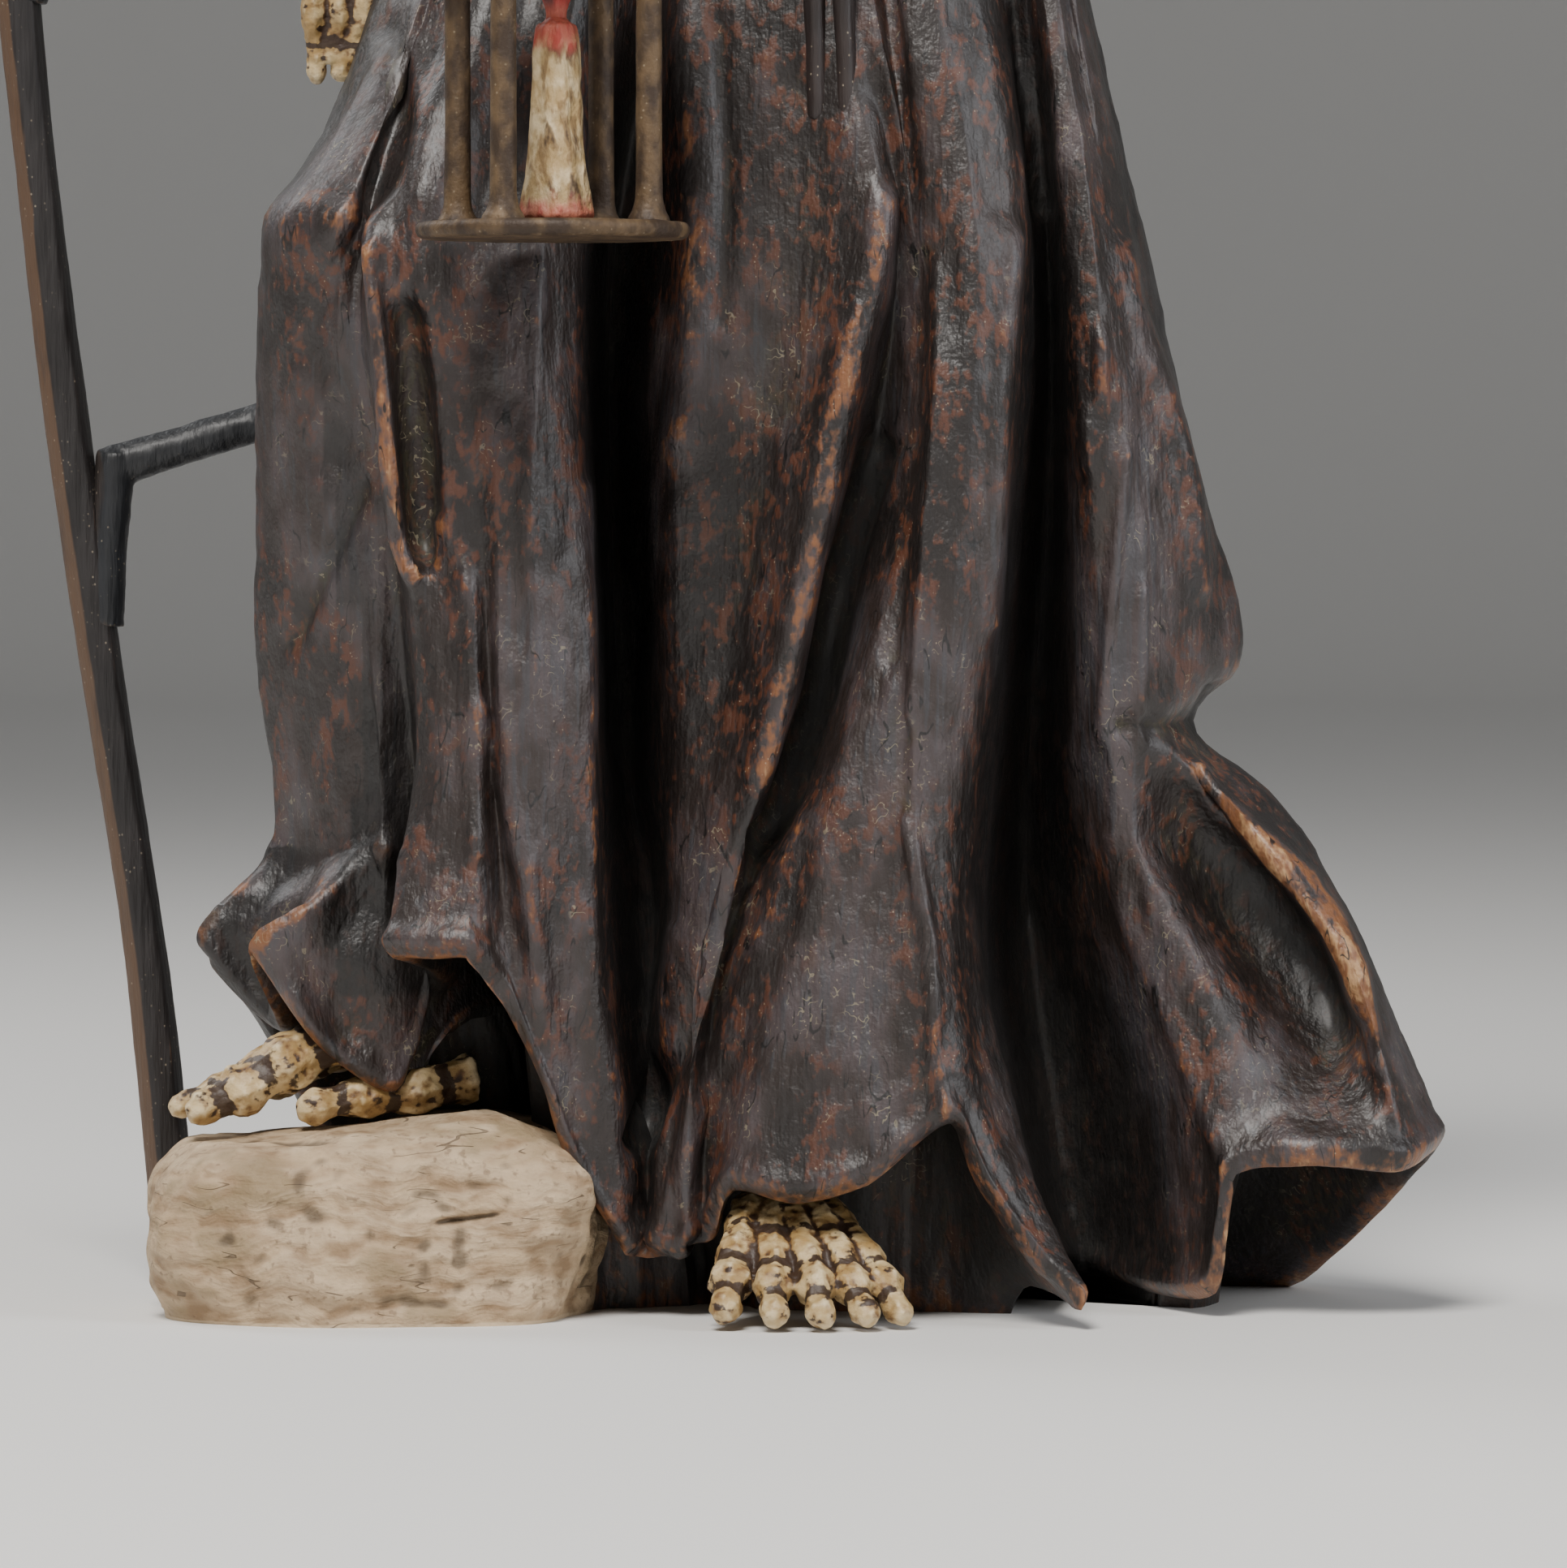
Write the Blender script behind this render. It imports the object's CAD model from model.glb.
# %% [markdown]
# # A carved and painted wooden grim reaper
#
# A memento mori statue in the manner of an old workshop carving: a hooded skeleton in a long robe stands
# with one foot on a rock. It leans on a scythe and carries a small lantern. The robe, its belt, the skull,
# hands and feet are carved from one block, then painted. The rock, the scythe and the lantern are pieces
# of their own.
#
# The lesson builds the statue in the order a carver would: the big mass of the skirt first, then the
# upper body, then the finer things, and the paint and its wear at the end. Lengths are in millimetres
# until a mesh is made. The figure faces -Y and stands on z = 0.

import math

import bpy
import numpy as np
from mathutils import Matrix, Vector, noise


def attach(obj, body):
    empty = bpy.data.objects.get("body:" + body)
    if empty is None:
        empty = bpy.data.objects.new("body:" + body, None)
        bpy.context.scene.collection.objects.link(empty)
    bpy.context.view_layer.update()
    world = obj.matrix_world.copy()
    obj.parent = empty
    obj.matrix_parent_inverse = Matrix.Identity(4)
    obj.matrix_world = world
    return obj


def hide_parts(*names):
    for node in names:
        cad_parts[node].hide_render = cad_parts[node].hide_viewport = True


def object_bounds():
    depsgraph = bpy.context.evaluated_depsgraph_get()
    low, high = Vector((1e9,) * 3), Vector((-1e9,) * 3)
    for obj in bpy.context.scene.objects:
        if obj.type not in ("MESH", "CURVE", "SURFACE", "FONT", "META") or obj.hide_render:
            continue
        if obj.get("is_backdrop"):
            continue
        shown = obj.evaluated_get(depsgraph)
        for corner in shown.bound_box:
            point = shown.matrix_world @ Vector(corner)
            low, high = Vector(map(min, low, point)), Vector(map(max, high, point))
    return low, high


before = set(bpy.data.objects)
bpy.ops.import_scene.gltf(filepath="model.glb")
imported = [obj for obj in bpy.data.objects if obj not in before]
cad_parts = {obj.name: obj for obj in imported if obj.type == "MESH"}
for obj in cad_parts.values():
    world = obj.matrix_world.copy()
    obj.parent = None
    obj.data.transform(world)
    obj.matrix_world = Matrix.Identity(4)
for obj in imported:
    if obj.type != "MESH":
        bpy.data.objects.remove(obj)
solids_low, solids_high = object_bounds()
MM = 0.001
print("solids span", [round((b - a) * 1000, 1) for a, b in zip(solids_low, solids_high)], "mm")

# %% [markdown]
# ## Curves and rings
#
# Nearly every form here is a row of rings. A fold line of cloth is read on a smooth curve through its
# knots, a ring is a smooth closed curve through one point of each line, and a limb is a row of ovals
# along a path. Working on whole arrays keeps the fine grids quick to make.

# %% Curves and rings


def mix(a, b, share):
    return a + (b - a) * share


def step(low, high, value):
    """0 below `low`, 1 above `high`, and a soft change between them."""
    t = np.clip((np.asarray(value, float) - low) / (high - low), 0, 1)
    return t * t * (3 - 2 * t)


def read(knots, z):
    """The (x, y) of a line at each height in `z`, on a smooth curve through knots [height, x, y]."""
    k = np.array(knots, float)
    z = np.clip(np.asarray(z, float), k[-1, 0], k[0, 0])
    i = np.clip(np.searchsorted(-k[:, 0], -z, side="right") - 1, 0, len(k) - 2)
    before, after = k[np.maximum(np.arange(len(k)) - 1, 0)], k[np.minimum(np.arange(len(k)) + 1, len(k) - 1)]
    slope = (after[:, 1:] - before[:, 1:]) / (after[:, :1] - before[:, :1])
    a, b = k[i], k[i + 1]
    span = (b[:, 0] - a[:, 0])[:, None]
    t = (z[:, None] - a[:, :1]) / span
    return (
        a[:, 1:] * (2 * t**3 - 3 * t**2 + 1)
        + b[:, 1:] * (3 * t**2 - 2 * t**3)
        + slope[i] * span * (t**3 - 2 * t**2 + t)
        + slope[i + 1] * span * (t**3 - t**2)
    )


def spans(p0, p1, p2, p3):
    """Start, slopes and end of each span of a centripetal curve through points."""
    gap = lambda a, b: np.maximum(np.linalg.norm(a - b, axis=-1, keepdims=True) ** 0.5, 1e-4)
    d0, d1, d2 = gap(p0, p1), gap(p1, p2), gap(p2, p3)
    leave = ((p1 - p0) / d0 - (p2 - p0) / (d0 + d1) + (p2 - p1) / d1) * d1
    reach = ((p2 - p1) / d1 - (p3 - p1) / (d1 + d2) + (p3 - p2) / d2) * d1
    return p1, leave, reach, p2


def along_span(span, t):
    a, leave, reach, b = span
    return a + leave * t + (3 * b - 3 * a - 2 * leave - reach) * t**2 + (2 * a - 2 * b + leave + reach) * t**3


def round_through(corners, counts, crisp=0.0):
    """Closed curves through the corners of each row. `crisp` pulls them towards straight facets."""
    p0, p2, p3 = (np.roll(corners, n, axis=1) for n in (1, -1, -2))
    whole = spans(p0, corners, p2, p3)
    rings = []
    for k, count in enumerate(counts):
        t = (np.arange(count) / count)[None, :, None]
        one = [part[:, k : k + 1] for part in whole]
        rings.append(mix(along_span(one, t), mix(one[0], one[3], t), crisp))
    return np.concatenate(rings, axis=1)


def open_through(points, count):
    """`count` spans of points on an open curve through `points`."""
    p = np.array(points, float)
    p = np.vstack([2 * p[0] - p[1], p, 2 * p[-1] - p[-2]])
    whole = spans(p[:-3], p[1:-2], p[2:-1], p[3:])
    place = np.linspace(0, len(points) - 1, count + 1)
    i = np.minimum(place.astype(int), len(points) - 2)
    return along_span([part[i] for part in whole], (place - i)[:, None])


def circle(sides):
    """The angles of evenly spaced places on a circle."""
    return np.linspace(0, 2 * np.pi, sides, endpoint=False)


def unit(v):
    v = np.asarray(v, float)
    return v / np.maximum(np.linalg.norm(v, axis=-1, keepdims=True), 1e-9)


def limb(stations, across, sides):
    """Rings of ovals along a path of stations [point, half width, half depth]."""
    points = np.array([s[0] for s in stations], float)
    w_half, d_half = (np.array([s[n] for s in stations], float)[:, None, None] for n in (1, 2))
    order = np.arange(len(points))
    along = unit(points[np.minimum(order + 1, len(points) - 1)] - points[np.maximum(order - 1, 0)])
    across = np.asarray(across, float)
    w = unit(across - along * (along @ across)[:, None])
    d = np.cross(along, w)
    turn = circle(sides)[None, :, None]
    return points[:, None] + w[:, None] * w_half * np.cos(turn) + d[:, None] * d_half * np.sin(turn)


def smooth(stations, steps):
    """More stations on a smooth path between the given ones."""
    count = (len(stations) - 1) * steps
    points = open_through([s[0] for s in stations], count)
    place = np.linspace(0, len(stations) - 1, count + 1)
    sizes = [np.interp(soft_place(place), range(len(stations)), [s[n] for s in stations]) for n in (1, 2)]
    return [(p, w, d) for p, w, d in zip(points, *sizes)]


def soft_place(place):
    whole = np.floor(place)
    return whole + step(0, 1, place - whole)


def stack(levels, sides, rows=1, carve=None):
    """Level ovals [height, centre x, centre y, half width, half depth], with rows between them."""
    levels = np.array(levels, float)
    if rows > 1:
        levels = open_through(levels, (len(levels) - 1) * rows)
    turn = circle(sides)[None, :]
    z, cx, cy, rx, ry = (levels[:, n : n + 1] for n in range(5))
    r = 1 if carve is None else carve(turn, z)
    return np.stack([cx + rx * r * np.cos(turn), cy + ry * r * np.sin(turn), z + 0 * turn], axis=-1)


def egg(centre, radii, sides=24, rows=14):
    turn = np.radians(np.linspace(-86, 86, rows + 1))
    x, y, z = centre
    rx, ry, rz = radii
    return stack([[z + rz * np.sin(t), x, y, rx * np.cos(t), ry * np.cos(t)] for t in turn], sides)


def turned(profile, sides, place=(0, 0, 0), rows=1, carve=None, least=0.02):
    """A shape from the lathe: [radius, height] from bottom to top, round `place`."""
    x, y, z = place
    return stack([[z + h, x, y, max(r, least), max(r, least)] for r, h in profile], sides, rows, carve)


# %% [markdown]
# ## From rings to meshes
#
# `sew` closes a row of rings into a surface that faces outward. `carve` joins several rough forms into
# one skin, as one block of wood has, cuts the hollows out of it and softens the cuts. `weather` then
# measures on each mesh where it stands out and where it lies deep, because hands rub paint off ridges
# while dust settles in hollows.

# %% From rings to meshes
CUTTER_FINENESS = 0.6  # a cutter's skin is finer than the skin of the block, so that its cut is clean


def sew(rings):
    """Points and faces of closed rings, with both ends closed by a fan."""
    rings = np.asarray(rings, float)
    rows, sides = rings.shape[:2]
    along = rings[-1].mean(0) - rings[0].mean(0)
    first = rings[0] - rings[0].mean(0)
    if np.cross(first, np.roll(first, -1, axis=0)).sum(0) @ along < 0:
        rings = rings[:, ::-1]
    points = np.vstack([rings.reshape(-1, 3), rings[0].mean(0), rings[-1].mean(0)])
    k = np.arange(sides)
    nxt = (k + 1) % sides
    r = np.arange(rows - 1)[:, None] * sides
    walls = np.stack([r + k, r + nxt, r + sides + nxt, r + sides + k], axis=-1).reshape(-1, 4)
    low, high, top = rows * sides, rows * sides + 1, (rows - 1) * sides
    fans = [(low, b, a) for a, b in zip(k, nxt)] + [(high, top + a, top + b) for a, b in zip(k, nxt)]
    return points, [tuple(map(int, f)) for f in walls] + [tuple(map(int, f)) for f in fans]


def in_scene(name, data):
    """A new object of the scene, made of a mesh, a curve, a lamp or a camera."""
    made = bpy.data.objects.new(name, data)
    bpy.context.scene.collection.objects.link(made)
    return made


def mesh_object(name, forms):
    """One object of several sewn forms, in millimetres."""
    points, faces, start = [], [], 0
    for one, these in forms:
        points.append(one)
        faces += [tuple(v + start for v in face) for face in these]
        start += len(one)
    mesh = bpy.data.meshes.new(name)
    mesh.from_pydata((np.vstack(points) * MM).tolist(), [], faces)
    mesh.update()
    return in_scene(name, mesh)


def evaluated_mesh(made):
    return bpy.data.meshes.new_from_object(made.evaluated_get(bpy.context.evaluated_depsgraph_get()))


def settle(made):
    """Replaces an object's modifiers by the mesh they make."""
    mesh = evaluated_mesh(made)
    made.modifiers.clear()
    made.data = mesh
    return made


def plain(made):
    """Puts the plain mesh that an object makes in the place of the object."""
    mesh, name = evaluated_mesh(made), made.name
    bpy.data.objects.remove(made)
    return in_scene(name, mesh)


def one_skin(made, voxel):
    """Joins overlapping forms into one even skin, with points `voxel` millimetres apart."""
    skin = made.modifiers.new("one skin", "REMESH")
    skin.mode, skin.voxel_size = "VOXEL", voxel * MM
    return made


def carve(name, forms, cuts=(), voxel=0.45, soften=3):
    """One skin round several forms, with the cuts taken out and the edges softened."""
    block = one_skin(mesh_object(name, forms), voxel)
    if cuts:
        tool = settle(one_skin(mesh_object(name + " cutter", cuts), CUTTER_FINENESS * voxel))
        settle(block)
        cut = block.modifiers.new("cut", "BOOLEAN")
        cut.operation, cut.solver, cut.object = "DIFFERENCE", "EXACT", tool
        settle(block)
        bpy.data.objects.remove(tool)
        one_skin(block, voxel)
    soft = block.modifiers.new("softened cuts", "SMOOTH")
    soft.factor, soft.iterations = 0.5, soften
    return settle(block)


def vectors_of(made, kind):
    values = np.empty(len(made.data.vertices) * 3)
    made.data.vertices.foreach_get(kind, values)
    return values.reshape(-1, 3)


def points_of(made):
    return vectors_of(made, "co") / MM


def normals_of(made):
    return vectors_of(made, "normal")


def set_points(made, points):
    made.data.vertices.foreach_set("co", (points * MM).ravel())
    made.data.update()


def note(made, name, values):
    """Keeps a number for each point, or the same number for all of them, which the paint can read."""
    kept = made.data.attributes.new(name, "FLOAT", "POINT")
    kept.data.foreach_set("value", np.full(len(made.data.vertices), values, np.float32))


def relief(made, rounds):
    """How far each point stands out of a smoothed copy of the mesh, in millimetres."""
    edges = np.empty(len(made.data.edges) * 2, int)
    made.data.edges.foreach_get("vertices", edges)
    a, b = edges.reshape(-1, 2).T
    points = points_of(made)
    count = np.bincount(np.concatenate([a, b]), minlength=len(points))[:, None]
    even = points.copy()
    gather = lambda to, values: np.bincount(to, values, len(points))
    for _ in range(rounds):
        total = [gather(a, axis[b]) + gather(b, axis[a]) for axis in even.T]
        even = mix(even, np.stack(total, 1) / np.maximum(count, 1), 0.7)
    return ((points - even) * normals_of(made)).sum(1)


def bumps(points, size, seed):
    """Soft random bumps between about -1 and 1, `size` millimetres wide."""
    shift = Vector((seed * 7.31, seed * 3.77, seed * 5.13))
    return np.array([noise.noise(Vector(p) + shift) for p in (points / size).tolist()])


def weather(made, fine=5, broad=40):
    """Notes for the paint: `edge` on ridges, `hollow` in valleys, each about 1 where the form is sharp."""
    near, far = relief(made, fine), relief(made, broad)
    share = lambda values: np.clip(values / max(np.percentile(values, 97), 0.01), 0, 1.6)
    note(made, "edge", 0.6 * share(near) + 0.4 * share(far))
    note(made, "hollow", 0.4 * share(-near) + 0.6 * share(-far))
    return made


def ready(made, node, paint, sharp=50):
    """Binds a finished piece to the solid that it stands for, and paints it."""
    made.data.shade_smooth()
    made.data.set_sharp_from_angle(angle=math.radians(sharp))
    made.data.materials.clear()
    made.data.materials.append(paint)
    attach(made, "root")
    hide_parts(node)
    made.data.calc_loop_triangles()
    print(f"{made.name}: {len(made.data.loop_triangles)} triangles")
    return made


# %% [markdown]
# ## Node graphs written as sums
#
# `Wire` wraps the output of a node, so that shader maths reads like ordinary sums. `Graph.node` makes
# every other node: its type, its settings and its inputs. `Paint` and `Group` build on it: one writes a
# material, the other a group of geometry nodes that repeats a form or follows a path.

# %% Node graphs


class Wire:
    """The output of a node, which adds and multiplies like a number."""

    def __init__(self, graph, socket):
        self.graph, self.socket = graph, socket

    def _sum(self, operation, *values):
        return self.graph.node("ShaderNodeMath", {"operation": operation}, dict(enumerate(values)))

    def __add__(self, other):
        return self._sum("ADD", self, other)

    def __sub__(self, other):
        return self._sum("SUBTRACT", self, other)

    def __rsub__(self, other):
        return self._sum("SUBTRACT", other, self)

    def __mul__(self, other):
        return self._sum("MULTIPLY", self, other)

    def __truediv__(self, other):
        return self._sum("DIVIDE", self, other)

    def __pow__(self, other):
        return self._sum("POWER", self, other)

    __radd__, __rmul__ = __add__, __mul__

    def least(self, other):
        return self._sum("MINIMUM", self, other)

    def step(self, low, high):
        """0 to 1 as the value goes from `low` to `high`, kept between them."""
        limits = {"Value": self, "From Min": low, "From Max": high}
        return self.graph.node("ShaderNodeMapRange", {"interpolation_type": "SMOOTHSTEP"}, limits)


class Graph:
    """A tree of nodes of any kind."""

    def __init__(self, tree):
        self.tree = tree

    def node(self, kind, settings=None, inputs=None, output=0):
        made = self.tree.nodes.new(kind)
        for key, value in (settings or {}).items():
            setattr(made, key, value)
        for key, value in (inputs or {}).items():
            if isinstance(value, Wire):
                self.tree.links.new(value.socket, made.inputs[key])
            else:
                made.inputs[key].default_value = value
        return Wire(self, made.outputs[output])


class Group(Graph):
    """A geometry node group. Its inputs are a geometry and some numbers: name="Float" or name="Int"."""

    def __init__(self, name, **numbers):
        super().__init__(bpy.data.node_groups.new(name, "GeometryNodeTree"))
        for key, kind in {"Geometry": "Geometry", **numbers}.items():
            self.tree.interface.new_socket(key, in_out="INPUT", socket_type="NodeSocket" + kind)
        self.tree.interface.new_socket("Geometry", in_out="OUTPUT", socket_type="NodeSocketGeometry")
        self.given = self.tree.nodes.new("NodeGroupInput")

    def ask(self, name):
        return Wire(self, self.given.outputs[name])

    def done(self, geometry, paint):
        """Ends the group with its finished geometry, in one paint."""
        whole = self.node("GeometryNodeRealizeInstances", None, {"Geometry": geometry})
        painted = self.node("GeometryNodeSetMaterial", None, {"Geometry": whole, "Material": paint})
        out = self.tree.nodes.new("NodeGroupOutput")
        self.tree.links.new(painted.socket, out.inputs["Geometry"])
        return self.tree


class Paint(Graph):
    """A material that is worked out from the object's own coordinates, in millimetres."""

    def __init__(self, name):
        self.material = bpy.data.materials.new(name)
        self.material.use_nodes = True
        super().__init__(self.material.node_tree)
        self.tree.nodes.clear()
        metres = self.node("ShaderNodeTexCoord", output="Object")
        self.place = self.vector("SCALE", metres, Scale=1000)

    def vector(self, operation, a, b=None, **more):
        inputs = {0: a, **({1: b} if b is not None else {}), **more}
        return self.node("ShaderNodeVectorMath", {"operation": operation}, inputs)

    def at(self, size, seed=0, place=None):
        """Coordinates counted in steps of `size` millimetres, a number or one for each axis."""
        size = (size,) * 3 if isinstance(size, (int, float)) else size
        scaled = self.vector("MULTIPLY", place or self.place, tuple(1 / s for s in size))
        return self.vector("ADD", scaled, (seed * 3.1, seed * 1.7, seed * 2.3))

    def noise(self, size, seed=0, detail=3.0, place=None):
        inputs = {"Vector": self.at(size, seed, place), "Scale": 1.0, "Detail": detail}
        return self.node("ShaderNodeTexNoise", None, inputs)

    def bent(self, amount, size, seed=0):
        """The place, pushed about by noise, so that lines drawn in it wander."""
        drift = self.node("ShaderNodeTexNoise", None, {"Vector": self.at(size, seed), "Scale": 1.0}, "Color")
        centred = self.vector("SUBTRACT", drift, (0.5, 0.5, 0.5))
        return self.vector("ADD", self.place, self.vector("SCALE", centred, Scale=2 * amount))

    def cells(self, size, seed=0, feature="F1", place=None):
        inputs = {"Vector": self.at(size, seed, place), "Scale": 1.0}
        return self.node("ShaderNodeTexVoronoi", {"feature": feature}, inputs, "Distance")

    def strokes(self, size, seed, width, place=None):
        """Thin wandering lines, where a noise crosses its middle value."""
        off = self.noise(size, seed, 1.0, place) - 0.5
        return 1 - self.node("ShaderNodeMath", {"operation": "ABSOLUTE"}, {0: off}).step(0.3 * width, width)

    def noted(self, name):
        return self.node("ShaderNodeAttribute", {"attribute_name": name}, output="Fac")

    def blend(self, share, a, b):
        """Colour `a` going over to colour `b`."""
        a, b = (c if isinstance(c, Wire) else (*c, 1) for c in (a, b))
        return self.node("ShaderNodeMix", {"data_type": "RGBA"}, {0: share, 6: a, 7: b}, 2)

    def over(self, share, color):
        """Lays a coat over the colours so far, as thick as `share` says."""
        self.color = self.blend(share, self.color, color)

    def relief(self, height, strength=0.8):
        """Bumps from a height in millimetres."""
        inputs = {"Height": height, "Strength": strength, "Distance": MM}
        return self.node("ShaderNodeBump", None, inputs)

    def done(self, color, roughness, normal=None, metallic=0.0, coat=0.0, **fixed):
        color = color if isinstance(color, Wire) else (*color, 1)
        inputs = {"Base Color": color, "Roughness": roughness, "Metallic": metallic,
            "Coat Weight": coat, **fixed}
        if normal is not None:
            inputs["Normal"] = normal
        shader = self.node("ShaderNodeBsdfPrincipled", None, inputs)
        out = self.tree.nodes.new("ShaderNodeOutputMaterial")
        self.tree.links.new(shader.socket, out.inputs["Surface"])
        return self.material


# %% [markdown]
# ## Paint
#
# The robe was stained nearly black over a red-brown ground. Handling has rubbed the stain off the ridges,
# so the warm ground shows there, and a greenish dust sits in the hollows. The old varnish has cracked
# finely. Every colour below follows from the notes on edges and hollows and from a few noises.

# %% Paint of the robe


def worn_robe():
    p = Paint("worn dark robe")
    edge, hollow, deep = p.noted("edge"), p.noted("hollow"), p.noted("deep")
    cloudy = p.noise((15, 15, 26), 1, 2)
    patchy = p.noise((4.5, 4.5, 8), 2, 3)
    gritty = p.noise((1.1, 1.1, 1.7), 3, 2)
    grain = p.noise((0.9, 0.9, 13), 4, 2)
    p.color = p.blend(cloudy.step(0.35, 0.68), (0.009, 0.006, 0.0052), (0.025, 0.0155, 0.0125))
    sheen = (patchy * 0.6 + cloudy * 0.6 + edge * 0.12).step(0.55, 0.82) * (1 - hollow.step(0.1, 0.7))
    p.over(sheen * 0.9, (0.066, 0.050, 0.053))
    p.over((grain * 0.5 + cloudy * 0.6).step(0.62, 0.70) * 0.45, (0.034, 0.040, 0.048))
    olive = (hollow * 0.5 + patchy).step(0.55, 0.95) * (grain + gritty).step(0.85, 1.15)
    p.over(olive * 0.7, (0.036, 0.031, 0.013))
    ground = (gritty * 0.55 + patchy * 0.45).step(0.50, 0.60) * (1 - cloudy.step(0.46, 0.64))
    p.over(ground * 0.8, (0.085, 0.025, 0.010))
    rubbed = (edge * 0.46 + gritty * 0.8 + patchy * 0.7).step(1.04, 1.32)
    p.over(rubbed * 0.88, (0.200, 0.078, 0.027))
    bare = (edge * 0.42 + gritty * 0.7 + grain * 0.5).step(1.12, 1.36)
    p.over(bare * 0.85, (0.42, 0.25, 0.12))
    cracks = p.strokes((2.4, 2.4, 9), 5, 0.017) * p.noise((3.2, 3.2, 5), 10, 1).step(0.54, 0.58)
    p.over(cracks * 0.9, (0.003, 0.0025, 0.0025))
    fluff = p.strokes(1.5, 21, 0.024) * p.noise(1.3, 22, 0).step(0.52, 0.58)
    fluff = fluff * (patchy * 0.8 + cloudy * 0.6 + hollow * 0.12).step(0.74, 0.90)
    p.over(fluff * 0.5, (0.30, 0.26, 0.17))
    dust = (1 - p.cells((0.75, 0.75, 0.9), 4).step(0.07, 0.17)) * (patchy + gritty).step(0.92, 1.22)
    p.over(dust * 0.6, (0.33, 0.27, 0.19))
    p.over(deep * 0.85, (0.0035, 0.0028, 0.0025))
    rough = (0.34 + 0.22 * gritty + 0.12 * patchy + 0.25 * hollow.step(0.1, 1)).least(0.9)
    fine = p.noise(0.42, 31, 1)
    normal = p.relief(patchy * 0.50 + grain * 0.24 + gritty * 0.32 + fine * 0.09)
    return p.done(p.color, rough, normal, coat=0.22, **{"Coat Roughness": 0.32, "Specular IOR Level": 0.55})


# %% Paint of bone, rock and shaft


def old_bone():
    p = Paint("bone paint gone yellow")
    hollow, edge, joint = p.noted("hollow"), p.noted("edge"), p.noted("joint")
    stains = p.noise((1.5, 1.5, 1.2), 2, 5)
    patchy = p.noise(3.2, 3, 4)
    blots = p.noise((2.6, 2.6, 2), 9, 3)
    p.color = p.blend(patchy.step(0.36, 0.66), (0.36, 0.225, 0.080), (0.60, 0.45, 0.235))
    p.over((edge * 0.6 + patchy * 0.6).step(0.55, 1.1) * 0.7, (0.74, 0.61, 0.38))
    p.over((stains * 0.9 + hollow * 0.4).step(0.42, 0.66) * 0.85, (0.15, 0.066, 0.018))
    brown = (joint * 0.36 + stains * 1.1 + blots * 1.1 + hollow * 0.25).step(1.24, 1.36)
    p.over(brown * 0.95, (0.030, 0.014, 0.008))
    p.over((hollow + stains * 0.8).step(0.65, 1.3) * 0.9, (0.040, 0.019, 0.009))
    specks = (1 - p.cells(1.1, 6).step(0.08, 0.2)) * p.noise(3, 7, 2).step(0.5, 0.65)
    p.over(specks * 0.7, (0.05, 0.03, 0.018))
    normal = p.relief(patchy * 0.5 + stains * 0.4)
    return p.done(p.color, 0.40 + 0.25 * stains, normal, coat=0.1, **{"Coat Roughness": 0.35})


def old_rock():
    p = Paint("bare wood painted as rock")
    hollow, edge = p.noted("hollow"), p.noted("edge")
    level = p.noise((11, 11, 2.1), 1, 4, p.bent(3.0, 9, 3))
    broad = p.noise((13, 13, 8), 9, 2)
    patchy = p.noise((4.2, 4.2, 2.6), 2, 4)
    gritty = p.noise(0.9, 5, 2)
    p.color = p.blend(patchy.step(0.36, 0.66), (0.27, 0.175, 0.095), (0.50, 0.365, 0.225))
    p.over(level.step(0.40, 0.62) * 0.6, (0.56, 0.43, 0.285))
    p.over((broad + patchy * 0.5).step(0.80, 0.96) * 0.55, (0.15, 0.105, 0.042))
    p.over((level * 0.4 + gritty * 0.6).step(0.57, 0.66) * 0.5, (0.14, 0.085, 0.048))
    p.over((edge * 0.5 + patchy * 0.8).step(0.75, 1.15) * 0.6, (0.68, 0.54, 0.37))
    p.over(hollow.step(0.3, 1.5) * 0.75, (0.060, 0.038, 0.020))
    splits = p.strokes((12, 12, 2.0), 4, 0.008) * p.noise((5, 5, 3), 8, 1).step(0.58, 0.62)
    p.over(splits * 0.6, (0.05, 0.03, 0.018))
    normal = p.relief(broad * 1.8 + level * 1.1 + patchy * 0.7 + gritty * 0.25 - splits * 0.3)
    return p.done(p.color, 0.62 + 0.2 * gritty, normal)


def dark_wood(name, base, worn, share):
    p = Paint(name)
    edge, side = p.noted("edge"), p.noted("side")
    grain = p.noise((0.9, 0.9, 12), 1, 4)
    patchy = p.noise((4, 4, 9), 2, 4)
    p.color = p.blend(patchy.step(0.4, 0.7) * 0.7, base, tuple(2.1 * c for c in base))
    p.over((side * 1.1 + patchy * 0.8 + grain * 0.5).step(1.25, 1.75) * share, worn)
    p.over((edge * 0.45 + grain * 0.8 + patchy * 0.4).step(1.05, 1.4) * 0.7, worn)
    dust = (1 - p.cells((0.8, 0.8, 1.0), 4).step(0.08, 0.19)) * patchy.step(0.45, 0.65)
    p.over(dust * 0.6, (0.36, 0.30, 0.22))
    normal = p.relief(grain * 0.35 + patchy * 0.45)
    return p.done(p.color, 0.40 + 0.25 * patchy, normal, coat=0.1, **{"Coat Roughness": 0.3})


# %% Paint of the lantern, candle and blade


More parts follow.
